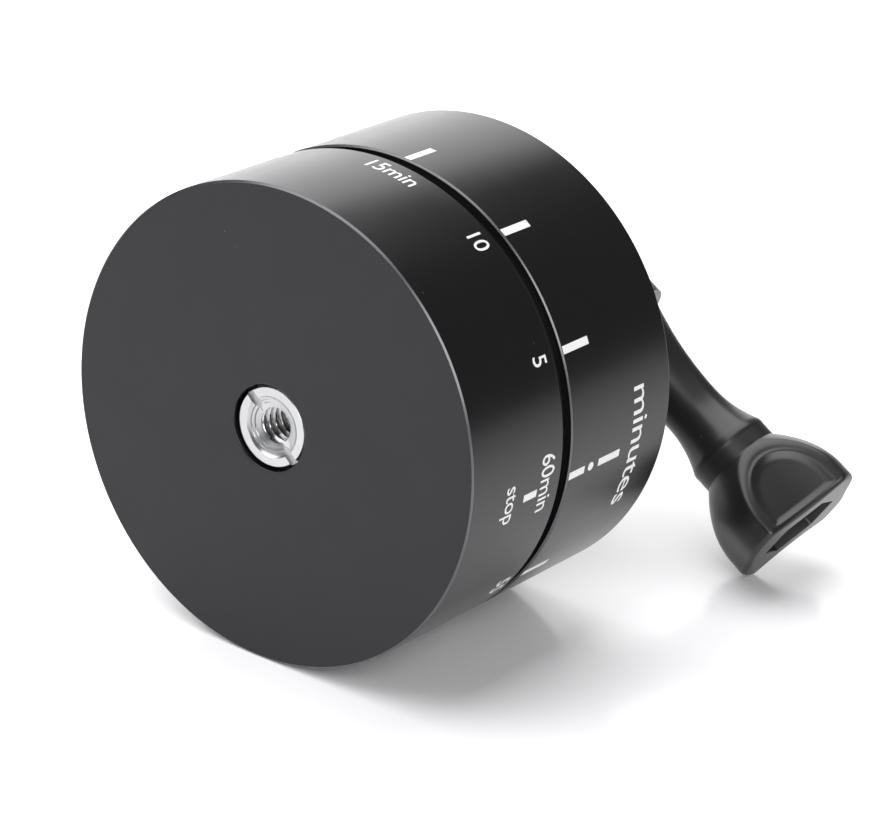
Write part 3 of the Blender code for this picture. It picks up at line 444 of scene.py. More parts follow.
def finish_material(name, color, roughness, metallic, place, marks=0.0, grain=0.0,
                    lines=8.0, grain_scale=9000.0, variation=0.06, tint=0.12, specks=0.0,
                    specular=0.5):
    """A Principled finish whose colour, roughness and bump come from the shared groups."""
    material = bpy.data.materials.new(name)
    material.use_nodes = True
    tree = material.node_tree
    shader = tree.nodes["Principled BSDF"]
    preset(shader, {"Metallic": metallic, "Specular IOR Level": specular})
    coordinates = tree.nodes.new("ShaderNodeTexCoord")
    mapping = tree.nodes.new("ShaderNodeMapping")
    mapping.vector_type = "TEXTURE"
    preset(mapping, {"Location": place.to_translation(), "Rotation": place.to_euler("XYZ")})
    tree.links.new(coordinates.outputs["Object"], mapping.inputs["Vector"])
    local = mapping.outputs[0]

    def group(tree_name, values):
        node = tree.nodes.new("ShaderNodeGroup")
        node.node_tree = bpy.data.node_groups[tree_name]
        tree.links.new(local, node.inputs["Vector"])
        preset(node, values)
        return node

    turned = group("turned_marks", {"Lines per mm": lines})
    fine = group("fine_grain", {"Grain": grain_scale})
    height = math_node(
        tree, "ADD",
        math_node(tree, "MULTIPLY", turned.outputs["Height"], marks),
        math_node(tree, "MULTIPLY", fine.outputs["Height"], grain))
    bump = tree.nodes.new("ShaderNodeBump")
    preset(bump, {"Strength": 0.5, "Distance": 0.1 * MM})
    tree.links.new(height, bump.inputs["Height"])
    tree.links.new(bump.outputs[0], shader.inputs["Normal"])

    both = math_node(tree, "ADD", fine.outputs["Mottle"], turned.outputs["Sheen"])
    spread = math_node(tree, "MULTIPLY", math_node(tree, "SUBTRACT", both, 1.0), variation)
    dullness = math_node(tree, "ADD", spread, roughness, clamp=True)
    tree.links.new(dullness, shader.inputs["Roughness"])

    shade = tree.nodes.new("ShaderNodeMix")
    shade.data_type = "RGBA"
    tree.links.new(fine.outputs["Mottle"], shade.inputs["Factor"])
    darker, lighter = ([c * share for c in color] for share in (1 - tint, 1 + tint))
    preset(shade, {"A": (*darker, 1), "B": (*lighter, 1)})
    result = shade.outputs["Result"]
    if specks:
        dust = group("specks", {"Size": specks})
        dusted = tree.nodes.new("ShaderNodeMix")
        dusted.data_type = "RGBA"
        tree.links.new(dust.outputs["Mask"], dusted.inputs["Factor"])
        tree.links.new(result, dusted.inputs["A"])
        dusted.inputs["B"].default_value = (0.22, 0.22, 0.22, 1)
        result = dusted.outputs["Result"]
    tree.links.new(result, shader.inputs["Base Color"])
    return material


def finishes():
    """Every finish of the object, made once."""
    if "anodised_wall" in bpy.data.materials:
        return bpy.data.materials
    turned_marks_group()
    fine_grain_group()
    specks_group()
    scene = bpy.context.scene
    housing, metal = scene.panning_housing, scene.panning_metal
    plastic = scene.panning_thumbscrew
    finish_material(
        "anodised_wall", housing.wall_color, housing.wall_roughness, 0.0, DIAL,
        marks=0.012, grain=0.012, lines=5.0, variation=0.04, specks=0.03, specular=0.5)
    finish_material(
        "anodised_face", housing.face_color, 0.50, 0.0, DIAL,
        marks=0.01, grain=0.06, lines=6.0, variation=0.06, tint=0.05, specks=0.03, specular=0.38)
    finish_material(
        "cut_edge", (0.10, 0.10, 0.103), 0.28, 0.8, DIAL, marks=0.05, lines=10.0)
    finish_material(
        "dial_ink", scene.panning_marks.ink_color, 0.55, 0.0, DIAL,
        grain=0.05, grain_scale=14000.0, tint=0.05)
    finish_material(
        "bush_steel", metal.bush_color, 0.24, 1.0, DIAL, marks=0.3, lines=9.0, variation=0.12)
    finish_material(
        "steel", metal.steel_color, 0.30, 1.0, DIAL, marks=0.15, lines=10.0, variation=0.12)
    finish_material(
        "bolt_steel", metal.steel_color, 0.32, 1.0, HANDLE, marks=0.12, lines=12.0, variation=0.12)
    finish_material(
        "blued_steel", (0.16, 0.19, 0.30), 0.30, 1.0, DIAL, marks=0.12, lines=14.0, tint=0.3)
    finish_material(
        "brass", metal.brass_color, 0.33, 1.0, DIAL, marks=0.15, lines=9.0, variation=0.14)
    finish_material(
        "moulded_plastic", plastic.plastic_color, 0.32, 0.0, HANDLE,
        grain=0.05, grain_scale=6000.0, variation=0.10, specks=0.03)
    finish_material(
        "ring_plastic", (0.012, 0.012, 0.012), 0.35, 0.0, DIAL,
        marks=0.1, grain=0.03, lines=6.0)
    finish_material(
        "rubber", (0.018, 0.018, 0.018), 0.75, 0.0, DIAL,
        grain=0.15, grain_scale=4000.0, tint=0.2)
    return bpy.data.materials


# ---------------- housings


def facing(mesh, index, level):
    """Gives the flat faces at one dial level the material with that index."""
    for face in mesh.polygons:
        along = face.center.y - FACE_Y
        if abs(face.normal.y) > 0.99 and abs(along - level) < 0.05 * MM:
            face.material_index = index


def edged(mesh, index, places):
    """Gives the narrow chamfers at these dial levels the material with that index."""
    for face in mesh.polygons:
        away = math.hypot(face.center.x - AXIS_X, face.center.z - AXIS_Z)
        along = face.center.y - FACE_Y
        if 0.2 < abs(face.normal.y) < 0.95 and away > RADIUS - 0.6 * MM:
            if min(abs(along - level) for level in places) < 0.4 * MM:
                face.material_index = index


class PANHEAD_OT_housings(bpy.types.Operator):
    """Turns the base cup and the head cup"""

    bl_idname = "panhead.housings"
    bl_label = "Housings"
    steps = 288
    chamfer, broken_edge = 0.28 * MM, 0.25 * MM
    boss_bore, boss_radius, boss_top = 4.9 * MM, 9.0 * MM, 8.9 * MM
    bush_seat_depth, bush_round = 2.7 * MM, 0.12 * MM
    stud_seat_depth, stud_hole = 2.1 * MM, 3.5 * MM

    def base(self, finish):
        inner = RADIUS - WALL
        seat = (BUSH_HIGH[0] - BUSH_LOW[0]) / 2 + GAP
        profile = [
            (RADIUS - self.broken_edge, BASE_LENGTH), (RADIUS, BASE_LENGTH - self.broken_edge),
            (RADIUS, self.chamfer), (RADIUS - self.chamfer, 0.0),
            (seat + self.bush_round, 0.0), (seat, self.bush_round), (seat, self.bush_seat_depth),
            (self.boss_bore, self.bush_seat_depth), (self.boss_bore, self.boss_top),
            (self.boss_radius, self.boss_top), (self.boss_radius, FLOOR),
            (LEDGE_RADIUS, FLOOR), (LEDGE_RADIUS, LEDGE_LEVEL), (inner, LEDGE_LEVEL),
            (inner, BASE_LENGTH - RING_GRIP - GAP),
            (RING_RADIUS + GAP, BASE_LENGTH - RING_GRIP - GAP),
            (RING_RADIUS + GAP, BASE_LENGTH),
        ]
        names = ("anodised_wall", "anodised_face", "cut_edge")
        mesh = to_mesh(spun(profile, self.steps), "base_cup", DIAL, [finish[n] for n in names])
        facing(mesh, 1, 0.0)
        edged(mesh, 2, (0.0, BASE_LENGTH))
        return link("base_cup", mesh, "base", ["base_housing"])

    def head(self, finish):
        inner = RADIUS - WALL
        roof = TOP - FLOOR
        stud = (STUD_HIGH[0] - STUD_LOW[0]) / 2 + GAP
        profile = [
            (RADIUS - self.chamfer, TOP), (RADIUS, TOP - self.chamfer),
            (RADIUS, HEAD_START + self.broken_edge), (RADIUS - self.broken_edge, HEAD_START),
            (RING_RADIUS + RUNNING, HEAD_START),
            (RING_RADIUS + RUNNING, HEAD_START + RING_GRIP + GAP),
            (inner, HEAD_START + RING_GRIP + GAP), (inner, roof),
            (stud, roof), (stud, roof + self.stud_seat_depth),
            (self.stud_hole, roof + self.stud_seat_depth), (self.stud_hole, TOP),
        ]
        names = ("anodised_wall", "anodised_face", "cut_edge")
        mesh = to_mesh(spun(profile, self.steps), "head_cup", DIAL, [finish[n] for n in names])
        facing(mesh, 1, TOP)
        edged(mesh, 2, (HEAD_START, TOP))
        return link("head_cup", mesh, "head", ["head_housing"])

    def execute(self, context):
        finish = finishes()
        settings = context.scene.panning_housing
        for piece in (self.base(finish), self.head(finish)):
            soften(piece, settings.rim_round, 2, 25.0)
        return {"FINISHED"}


class PANHEAD_OT_glide_ring(bpy.types.Operator):
    """Turns the plastic ring that shows in the groove between the two cups"""

    bl_idname = "panhead.glide_ring"
    bl_label = "Glide ring"

    def execute(self, context):
        low, high = RING_LOW[1] - FACE_Y, RING_HIGH[1] - FACE_Y
        inner = RING_RADIUS - 1.8 * MM
        middle = (BASE_LENGTH + HEAD_START) / 2
        score = 0.10 * MM
        profile = [
            (RING_RADIUS, high), (RING_RADIUS, middle + score), (RING_RADIUS - score, middle),
            (RING_RADIUS, middle - score), (RING_RADIUS, low), (inner, low), (inner, high),
        ]
        mesh = to_mesh(spun(profile, 288), "slip_ring", DIAL, [finishes()["ring_plastic"]])
        piece = link("slip_ring", mesh, "base", ["glide_ring"])
        soften(piece, 0.06 * MM)
        return {"FINISHED"}


# ---------------- dial marks


def wrap(shape, height):
    """Lays a flat shape round the wall: X becomes the way round the dial, Y the way along it.

    The shape lies on Z = 0 and gets a thickness: it starts just under the wall and stands out of
    it by height.
    """
    reach = max(abs(vert.co.x) for vert in shape.verts) + 0.5 * MM
    step = 0.35 * MM
    cut = -reach
    while cut < reach:
        geometry = shape.verts[:] + shape.edges[:] + shape.faces[:]
        bmesh.ops.bisect_plane(
            shape, geom=geometry, dist=1e-9, plane_co=(cut, 0, 0), plane_no=(1, 0, 0))
        cut += step
    bmesh.ops.remove_doubles(shape, verts=shape.verts, dist=1e-6)
    bottom = shape.faces[:]
    raised = bmesh.ops.extrude_face_region(shape, geom=bottom)["geom"]
    verts = [item for item in raised if isinstance(item, bmesh.types.BMVert)]
    bmesh.ops.translate(shape, verts=verts, vec=(0, 0, 1))
    for vert in shape.verts:
        radius = RADIUS + (height if vert.co.z > 0.5 else -0.01 * MM)
        angle = vert.co.x / RADIUS
        vert.co = (radius * math.cos(angle), radius * math.sin(angle), vert.co.y)
    bmesh.ops.recalc_face_normals(shape, faces=shape.faces)


def bar(width, length):
    shape = bmesh.new()
    bmesh.ops.create_grid(shape, x_segments=1, y_segments=1, size=0.5)
    bmesh.ops.scale(shape, vec=(width, length, 1), verts=shape.verts)
    return shape


def letters(text, height, width=0.86):
    """A line of text, centred on both axes, with its digits this tall and its width drawn in."""
    curve = bpy.data.curves.new("letters", "FONT")
    curve.body = text
    curve.align_x = "CENTER"
    curve.size = 1.0
    curve.resolution_u = 6
    curve.offset = 0.002
    curve.space_character = 0.97
    drawn = placed("letters", curve)
    bpy.context.view_layer.update()
    graph = bpy.context.evaluated_depsgraph_get()
    mesh = bpy.data.meshes.new_from_object(drawn.evaluated_get(graph))
    shape = bmesh.new()
    shape.from_mesh(mesh)
    bpy.data.objects.remove(drawn)
    bpy.data.curves.remove(curve)
    bpy.data.meshes.remove(mesh)
    bmesh.ops.remove_doubles(shape, verts=shape.verts, dist=1e-5)
    cap = 0.729
    scale = height / cap
    middle = (min(v.co.x for v in shape.verts) + max(v.co.x for v in shape.verts)) / 2
    bmesh.ops.translate(shape, verts=shape.verts, vec=(-middle, -cap / 2, 0))
    bmesh.ops.scale(shape, vec=(scale * width, scale, scale), verts=shape.verts)
    return shape


class PANHEAD_OT_dial_marks(bpy.types.Operator):
    """Prints the minute numbers, the ticks and the index on the two cups"""

    bl_idname = "panhead.dial_marks"
    bl_label = "Dial marks"
    number_shifts = {15: 1.8 * MM, 60: -0.9 * MM}

    def mark(self, name, shape, minutes, along, body, shift=0.0):
        settings = bpy.context.scene.panning_marks
        bmesh.ops.translate(shape, verts=shape.verts, vec=(shift, 0, 0))
        wrap(shape, settings.ink_height)
        turn = Matrix.Rotation(INDEX_ANGLE - MINUTE * minutes, 4, "Z")
        place = DIAL @ Matrix.Translation((0, 0, along)) @ turn
        mesh = to_mesh(shape, name, place, [finishes()["dial_ink"]])
        return link(name, mesh, body)

    def execute(self, context):
        settings = context.scene.panning_marks
        for minutes in range(5, 65, 5):
            text = f"{minutes}min" if minutes % 15 == 0 else str(minutes)
            shape = letters(text, settings.digit_height)
            level = 17.7 * MM if minutes == 60 else 18.0 * MM
            shift = self.number_shifts.get(minutes, 0.0)
            self.mark(f"number_{minutes}", shape, minutes % 60, level, "base", shift)
        self.mark("word_stop", letters("stop", 2.9 * MM), 0, 9.6 * MM, "base")
        self.mark("index_line", bar(1.1 * MM, 3.0 * MM), 0, 13.9 * MM, "base")
        for minutes in range(5, 60, 5):
            self.mark(f"tick_{minutes}", bar(1.15 * MM, 6.0 * MM), minutes, 26.4 * MM, "head")
        self.mark("index_bar_near", bar(1.15 * MM, 3.7 * MM), 0, 25.1 * MM, "head")
        self.mark("index_bar_far", bar(1.15 * MM, 5.2 * MM), 0, 33.0 * MM, "head")
        dot = bmesh.new()
        bmesh.ops.create_circle(dot, cap_ends=True, radius=0.65 * MM, segments=24)
        self.mark("index_dot", dot, 0, 28.5 * MM, "head")
        word = letters("minutes", settings.word_height, 1.2)
        self.mark("word_minutes", word, 0, 40.3 * MM, "head", 0.6 * MM)
        return {"FINISHED"}


# ---------------- tripod bush and camera stud


class PANHEAD_OT_tripod_bush(bpy.types.Operator):
    """Turns the slotted steel bush and winds its quarter inch thread"""

    bl_idname = "panhead.tripod_bush"
    bl_label = "Tripod bush"
    slot_angle = math.radians(44.5)

    def execute(self, context):
        settings = context.scene.panning_metal
        face, end = BUSH_LOW[1] - FACE_Y, BUSH_HIGH[1] - FACE_Y
        flange = (BUSH_HIGH[0] - BUSH_LOW[0]) / 2
        body, minor, major = 4.6 * MM, 2.62 * MM, 3.40 * MM
        mouth, mouth_depth = 4.35 * MM, 1.0 * MM
        rings = [(minor, z) for z in heights(face + mouth_depth, end - 0.3 * MM, 96)]
        profile = [
            (body, end - 0.3 * MM), (body, face + 1.8 * MM), (flange, face + 1.8 * MM),
            (flange, face + 0.30 * MM), (flange - 0.30 * MM, face), (mouth + 0.15 * MM, face),
            (mouth, face + 0.12 * MM), (3.95 * MM, face + 0.25 * MM), (3.85 * MM, face + 0.45 * MM),
            (3.5 * MM, face + 0.55 * MM), (3.4 * MM, face + 0.75 * MM),
        ] + rings + [(2.9 * MM, end), (body - 0.3 * MM, end)]
        shape = spun(profile, 128)
        cut_thread(
            shape, face + mouth_depth, end - 0.3 * MM, minor, major, settings.thread_pitch, minor)
        half = settings.slot_width / 2
        reach = flange + 1.0 * MM
        slot = plate(
            [(-reach, -half), (reach, -half), (reach, half), (-reach, half)],
            face - 1.0 * MM, face + 1.0 * MM)
        slot.transform(Matrix.Rotation(self.slot_angle, 4, "Z"))
        mesh = combined(
            "slotted_bush", shape, [(slot, "DIFFERENCE")], DIAL, [finishes()["bush_steel"]], 30.0)
        piece = link("slotted_bush", mesh, "base", ["tripod_bush"])
        soften(piece, 0.05 * MM, 2, 40.0)
        return {"FINISHED"}


class PANHEAD_OT_camera_stud(bpy.types.Operator):
    """Turns the threaded camera stud and its rubber washer"""

    bl_idname = "panhead.camera_stud"
    bl_label = "Camera stud and pad"

    def execute(self, context):
        settings = context.scene.panning_metal
        low, end = STUD_LOW[1] - FACE_Y, STUD_HIGH[1] - FACE_Y
        flange = (STUD_HIGH[0] - STUD_LOW[0]) / 2
        radius, root = 3.17 * MM, 2.62 * MM
        lead = 0.35 * MM
        shoulder, thread_low, thread_high = low + 1.8 * MM, low + 3.6 * MM, end - lead
        rings = [(radius, z) for z in heights(thread_high, thread_low, 80)]
        profile = [(0.0, end), (radius - lead, end)] + rings + [
            (radius, shoulder), (flange, shoulder), (flange, low), (0.0, low)]
        shape = spun(profile, 96, closed=False)
        cut_thread(shape, thread_low, thread_high, root, radius, settings.thread_pitch, radius)
        mesh = to_mesh(shape, "threaded_stud", DIAL, [finishes()["steel"]])
        link("threaded_stud", mesh, "head", ["camera_stud"])

        outer = (PAD_HIGH[0] - PAD_LOW[0]) / 2
        low, high = PAD_LOW[1] - FACE_Y, PAD_HIGH[1] - FACE_Y
        profile = [(outer, high), (outer, low), (3.5 * MM, low), (3.5 * MM, high)]
        mesh = to_mesh(spun(profile, 128), "grip_washer", DIAL, [finishes()["rubber"]])
        piece = link("grip_washer", mesh, "head", ["rubber_pad"])
        soften(piece, 0.2 * MM, 3)
        return {"FINISHED"}


# ---------------- three-prong adapter


class PANHEAD_OT_adapter(bpy.types.Operator):
    """Moulds the three-prong adapter and sets its nut"""

    bl_idname = "panhead.adapter"
    bl_label = "Three-prong adapter"
    prong, slot = 3.0 * MM, 3.2 * MM
    tip_radius = 8.6 * MM
    base_radius, base_height = 10.5 * MM, 11.0 * MM
    crown, chamfer = 1.0 * MM, 0.3 * MM
    hollow_radius, hollow_depth = 5.3 * MM, 7.9 * MM
    ribs, rib_depth = 36, 0.25 * MM
    boss_radius, boss_length = 6.2 * MM, 3.4 * MM
    bore_radius = 2.65 * MM
    socket_flats, socket_depth = 8.6 * MM, 4.3 * MM
    nut_flats, nut_height, nut_bore = 8.0 * MM, 4.0 * MM, 2.47 * MM
    sunk, past = 1.5 * MM, 1.0 * MM

    def outline(self, foot):
        """A prong's flat outline: a half round about the pivot on straight sides."""
        tip = [
            (x, PIVOT_LEVEL + y) for x, y in circle(self.tip_radius, 80)[:40]
        ] + [(-self.tip_radius, PIVOT_LEVEL)]
        return tip + [(-self.tip_radius, foot), (self.tip_radius, foot)]

    def execute(self, context):
        finish = finishes()
        low = PAD_HIGH[1] - FACE_Y + GAP
        high = low + self.base_height
        hollow_top = low + self.hollow_depth
        stack = (3 * self.prong + 2 * self.slot) / 2
        wide, narrow = self.base_radius, self.base_radius - self.chamfer
        profile = [
            (0.0, high), (wide - self.crown, high), (narrow, high - self.chamfer),
            (wide, high - self.crown), (wide, low + self.chamfer), (narrow, low),
            (self.hollow_radius, low), (self.hollow_radius, hollow_top), (0.0, hollow_top)]
        body = spun(profile, 128, closed=False)
        for vert in body.verts:
            radius = math.hypot(vert.co.x, vert.co.y)
            if radius > self.base_radius - 0.01 * MM:
                wave = 0.5 + 0.5 * math.cos(self.ribs * math.atan2(vert.co.y, vert.co.x))
                move_out(vert, 1 - self.rib_depth * wave / radius)
        upright = Matrix.Rotation(math.pi / 2, 4, "Y") @ Matrix.Rotation(math.pi / 2, 4, "Z")
        across = Matrix.Translation((0, 0, PIVOT_LEVEL)) @ Matrix.Rotation(math.pi / 2, 4, "Y")
        tools = []
        for number in range(3):
            middle = (number - 1) * (self.prong + self.slot)
            half = self.prong / 2
            shape = plate(self.outline(high - self.sunk), middle - half, middle + half)
            shape.transform(upright)
            tools.append((shape, "UNION"))
        start = -stack - self.boss_length
        boss = plate(circle(self.boss_radius, 96), start, -stack + self.sunk)
        bore = plate(circle(self.bore_radius, 48), start - self.past, stack + self.past)
        socket = plate(hexagon(self.socket_flats), start - self.past, start + self.socket_depth)
        for shape, operation in ((boss, "UNION"), (bore, "DIFFERENCE"), (socket, "DIFFERENCE")):
            shape.transform(across)
            tools.append((shape, operation))
        mesh = combined("adapter_body", body, tools, PRONGS, [finish["moulded_plastic"]])
        piece = link("adapter_body", mesh, "adapter", ["three_prong_adapter"])
        soften(piece, 0.28 * MM, 3, 40.0)

        nut = plate(hexagon(self.nut_flats), start, start + self.nut_height)
        hole = plate(
            circle(self.nut_bore, 48), start - self.past, start + self.nut_height + self.past)
        mesh = combined("locked_nut", nut, [(hole, "DIFFERENCE")], ACROSS, [finish["bolt_steel"]])
        piece = link("locked_nut", mesh, "adapter", ["clamp_nut"])
        soften(piece, 0.2 * MM, 2, 40.0)
        return {"FINISHED"}


# ---------------- thumbscrew


def soft_min(first, second, width):
    """The smaller of two, run together over a width."""
    share = max(0.0, min(1.0, 0.5 + 0.5 * (second - first) / width))
    return second + (first - second) * share - width * share * (1 - share)


def smooth_step(value, low, high):
    share = max(0.0, min(1.0, (value - low) / (high - low)))
    return share * share * (3 - 2 * share)


class PANHEAD_OT_thumbscrew(bpy.types.Operator):
    """Moulds the long thumbscrew, its plug and its threaded bolt"""

    bl_idname = "panhead.thumbscrew"
    bl_label = "Thumbscrew"
    steps = 288
    foot, end = 8.0 * MM, 49.4 * MM
    foot_radius, waist_place, collar_place = 7.2 * MM, 24.8 * MM, 32.9 * MM
    bore_radius, bore_depth = 2.65 * MM, 25.3 * MM
    collar = 6.6 * MM
    knob_start = 36.1 * MM
    knob_radius = 11.2 * MM
    dome_length, rim = 10.4 * MM, 0.8 * MM
    turn = math.radians(31.0)
    scoop_radius = 26.0 * MM
    half_thickness, half_width = 7.2 * MM, 10.4 * MM
    dish_start, dish_arch, dish_foot = 38.8 * MM, 7.9 * MM, 48.75 * MM
    dish_half_width, dish_ramp = 6.2 * MM, 1.2 * MM
    bead_height, bead_width = 0.13 * MM, 0.28 * MM
    recess_length, recess_width, recess_depth = 13.8 * MM, 8.0 * MM, 5.0 * MM
    recess_point = math.radians(50)
    wall_share, rim_share = 0.74, 0.93
    lip, lip_drop, lip_round = 0.25 * MM, 0.02 * MM, 0.12 * MM
    plug_gap, plug_height, plug_border, plug_dip = 0.3 * MM, 2.2 * MM, 0.9 * MM, 0.7 * MM
    bolt_start, bolt_stop, thread_stop = -11.4 * MM, 32.9 * MM, 4.0 * MM
    bolt_radius, bolt_root, bolt_pitch, bolt_lead = 2.35 * MM, 2.0 * MM, 0.8 * MM, 0.4 * MM
    tiny = 1e-6

    def stem_radius(self, z, waist):
        if z < self.waist_place:
            share = (self.waist_place - z) / (self.waist_place - self.foot)
            return waist + (self.foot_radius - waist) * share ** 2
        share = (z - self.waist_place) / (self.collar_place - self.waist_place)
        return waist + (self.collar - waist) * share ** 2

    def knob_envelope(self, z):
        rise = max(0.0, 1 - (z - self.knob_start) / self.dome_length)
        return self.knob_radius - (self.knob_radius - self.collar) * rise ** 2

    def scoop(self, angle, middle, distance):
        """How far out a scoop's hollow lies in one direction."""
        off = angle - middle
        centre = distance + self.scoop_radius
        inside = self.scoop_radius ** 2 - (centre * math.sin(off)) ** 2
        if math.cos(off) <= 0 or inside <= 0:
            return 1.0
        return centre * math.cos(off) - math.sqrt(inside)

    def recess(self, angle):
        """How far out the end recess reaches in one direction: a long hexagon."""
        end, half = self.recess_length / 2, self.recess_width / 2
        side = end - half / math.tan(self.recess_point)
        x, y = abs(math.cos(angle)), abs(math.sin(angle))
        slope = half / (end - side)
        to_point = end * slope / (slope * x + y) if slope * x + y > 0 else 1.0
        return min(half / y if y > 1e-9 else 1.0, to_point)

    def dish_edge(self, z, across):
        """How far inside the dish's arched outline a point lies; outside it is negative."""
        half, arch = self.dish_half_width, self.dish_arch
        rise = max(0.0, self.dish_start + arch - z)
        reach = math.hypot(across / half, rise / arch)
        return min((1 - reach) * half, self.dish_foot - z)

    def pad_dish(self, z, angle, radius, depth):
        """How deep the dish of a wide pad is at a point of the pad."""
        across = abs(radius * math.cos(angle))
        inside = self.dish_edge(z, across)
        bead = self.bead_height * math.exp(-((inside / self.bead_width) ** 2))
        return depth * smooth_step(inside, 0.0, self.dish_ramp) - bead

    def handle_shape(self, settings):
        """The handle as one spun skin, whose knob points are then drawn in to its scoops."""
        bore, bore_end = self.bore_radius, self.foot + self.bore_depth
        stem = heights(self.foot + 0.6 * MM, self.collar_place, 40)
        neck = heights(33.6 * MM, self.knob_start - 0.05 * MM, 5)
        dome_end = self.end - self.rim
        profile = [(0.0, bore_end), (bore, bore_end), (bore, self.foot),
                   (6.8 * MM, self.foot), (self.foot_radius, self.foot + 0.4 * MM)]
        profile += [(self.stem_radius(z, settings.waist_radius), z) for z in stem]
        profile += [(self.collar, 33.15 * MM), (self.collar + 0.05 * MM, 33.3 * MM)]
        profile += [(self.collar, z) for z in neck]
        profile += [(self.knob_envelope(z), z) for z in heights(self.knob_start, dome_end, 80)]
        for i in range(1, 7):
            out, up = math.cos(math.radians(15 * i)), math.sin(math.radians(15 * i))
            profile.append((self.knob_radius - self.rim + self.rim * out, dome_end + self.rim * up))
        profile += [(self.knob_radius * share, self.end) for share in (0.90, 0.86, 0.82, 0.78)]
        floor = self.end - self.recess_depth
        for z in (self.end - self.lip_drop, self.end - 0.3 * MM, floor):
            profile.append((self.knob_radius * self.wall_share, z))
        profile += [(self.knob_radius * 0.4, floor), (0.0, floor)]
        shape = spun(profile, self.steps, closed=False)
        self.mould_knob(shape, settings)
        return shape

    def knob_outside(self, z, angle, settings):
        """How far out the knob's skin lies, with its four scoops and its two dishes."""
        above = max(0.0, z - self.end + self.rim)
        tucked = self.rim - math.sqrt(max(0.0, self.rim ** 2 - above ** 2))
        outside = self.knob_envelope(z) - tucked
        for middle, distance in ((90, self.half_thickness), (270, self.half_thickness),
                                 (0, self.half_width), (180, self.half_width)):
            hollow = self.scoop(angle, math.radians(middle), distance) - tucked
            outside = soft_min(outside, hollow, settings.crease)
        if abs(math.sin(angle)) > 0.3:
            outside -= self.pad_dish(z, angle, outside, settings.dish_depth)
        return outside

    def mould_knob(self, shape, settings):
        """Draws the knob's points in to its skin, and those of its end in to the recess."""
        floor = self.end - self.recess_depth
        for vert in shape.verts:
            x, y, z = vert.co
            radius = math.hypot(x, y)
            in_stem = radius < self.collar - self.tiny and z < floor - self.tiny
            if z < self.knob_start - self.tiny or radius < self.tiny or in_stem:
                continue
            angle = math.atan2(y, x)
            outside = self.knob_outside(z, angle, settings)
            hole = self.recess(angle)
            share = radius / self.knob_radius
            if z > self.end - self.tiny and share > 0.76:
                wide = (share - self.wall_share) / (self.rim_share - self.wall_share)
                inner = hole + self.lip
                target = inner + (outside - inner) * min(1.0, wide)
            elif share < self.wall_share + 0.001 and z > floor - self.tiny:
                target = hole * (share / self.wall_share)
                if abs(z - self.end + self.lip_drop) < self.tiny:
                    target = hole + self.lip_round
            elif share > 0.55:
                target = min(outside, radius) if z <= self.end - self.rim else outside
            else:
                continue
            move_out(vert, target / radius)

    def execute(self, context):
        finish = finishes()
        settings = context.scene.panning_thumbscrew
        place = HANDLE @ Matrix.Rotation(self.turn, 4, "Z")
        shape = self.handle_shape(settings)
        mesh = to_mesh(shape, "handle", place, [finish["moulded_plastic"]], 50.0)
        link("handle", mesh, "thumbscrew", ["thumbscrew_handle"])

        end, half = self.recess_length / 2 - self.plug_gap, self.recess_width / 2 - self.plug_gap
        side = end - half / math.tan(self.recess_point)
        outline = [(end, 0), (side, half), (-side, half), (-end, 0), (-side, -half), (side, -half)]
        low = self.end - self.recess_depth + self.plug_gap
        plug = plate(outline, low, low + self.plug_height)
        top = max(plug.faces, key=lambda face: face.calc_center_median().z)
        bmesh.ops.inset_individual(plug, faces=[top], thickness=self.plug_border)
        bmesh.ops.translate(plug, verts=top.verts, vec=(0, 0, -self.plug_dip))
        mesh = to_mesh(plug, "end_plug", place, [finish["moulded_plastic"]])
        piece = link("end_plug", mesh, "thumbscrew", ["knob_plug"])
        soften(piece, 0.15 * MM)

        start, stop, radius = self.bolt_start, self.bolt_stop, self.bolt_radius
        low, high = start + self.bolt_lead, self.thread_stop
        rings = [(radius, z) for z in heights(high, low, 110)]
        profile = [(0.0, stop), (radius, stop)] + rings
        profile += [(radius - self.bolt_lead, start), (0.0, start)]
        shape = spun(profile, 72, closed=False)
        cut_thread(shape, low, high, self.bolt_root, radius, self.bolt_pitch, radius)
        mesh = to_mesh(shape, "threaded_bolt", HANDLE, [finish["bolt_steel"]])
        link("threaded_bolt", mesh, "thumbscrew", ["clamp_bolt"])
        return {"FINISHED"}


# ---------------- clockwork


class PANHEAD_OT_clockwork(bpy.types.Operator):
    """Gives the solid model's clockwork and small parts their metal finishes"""

    bl_idname = "panhead.clockwork"
    bl_label = "Clockwork finishes"

    def execute(self, context):
        finish = finishes()
        chosen = {"brass": "brass", "steel": "steel", "spring_steel": "blued_steel"}
        slots = {part["node"]: part["material_slot"] for part in frame["record"]["subparts"]}
        for name, node in frame["nodes"].items():
            if slots[name] in chosen:
                node.data.materials.clear()
                node.data.materials.append(finish[chosen[slots[name]]])
        return {"FINISHED"}


# ---------------- stage


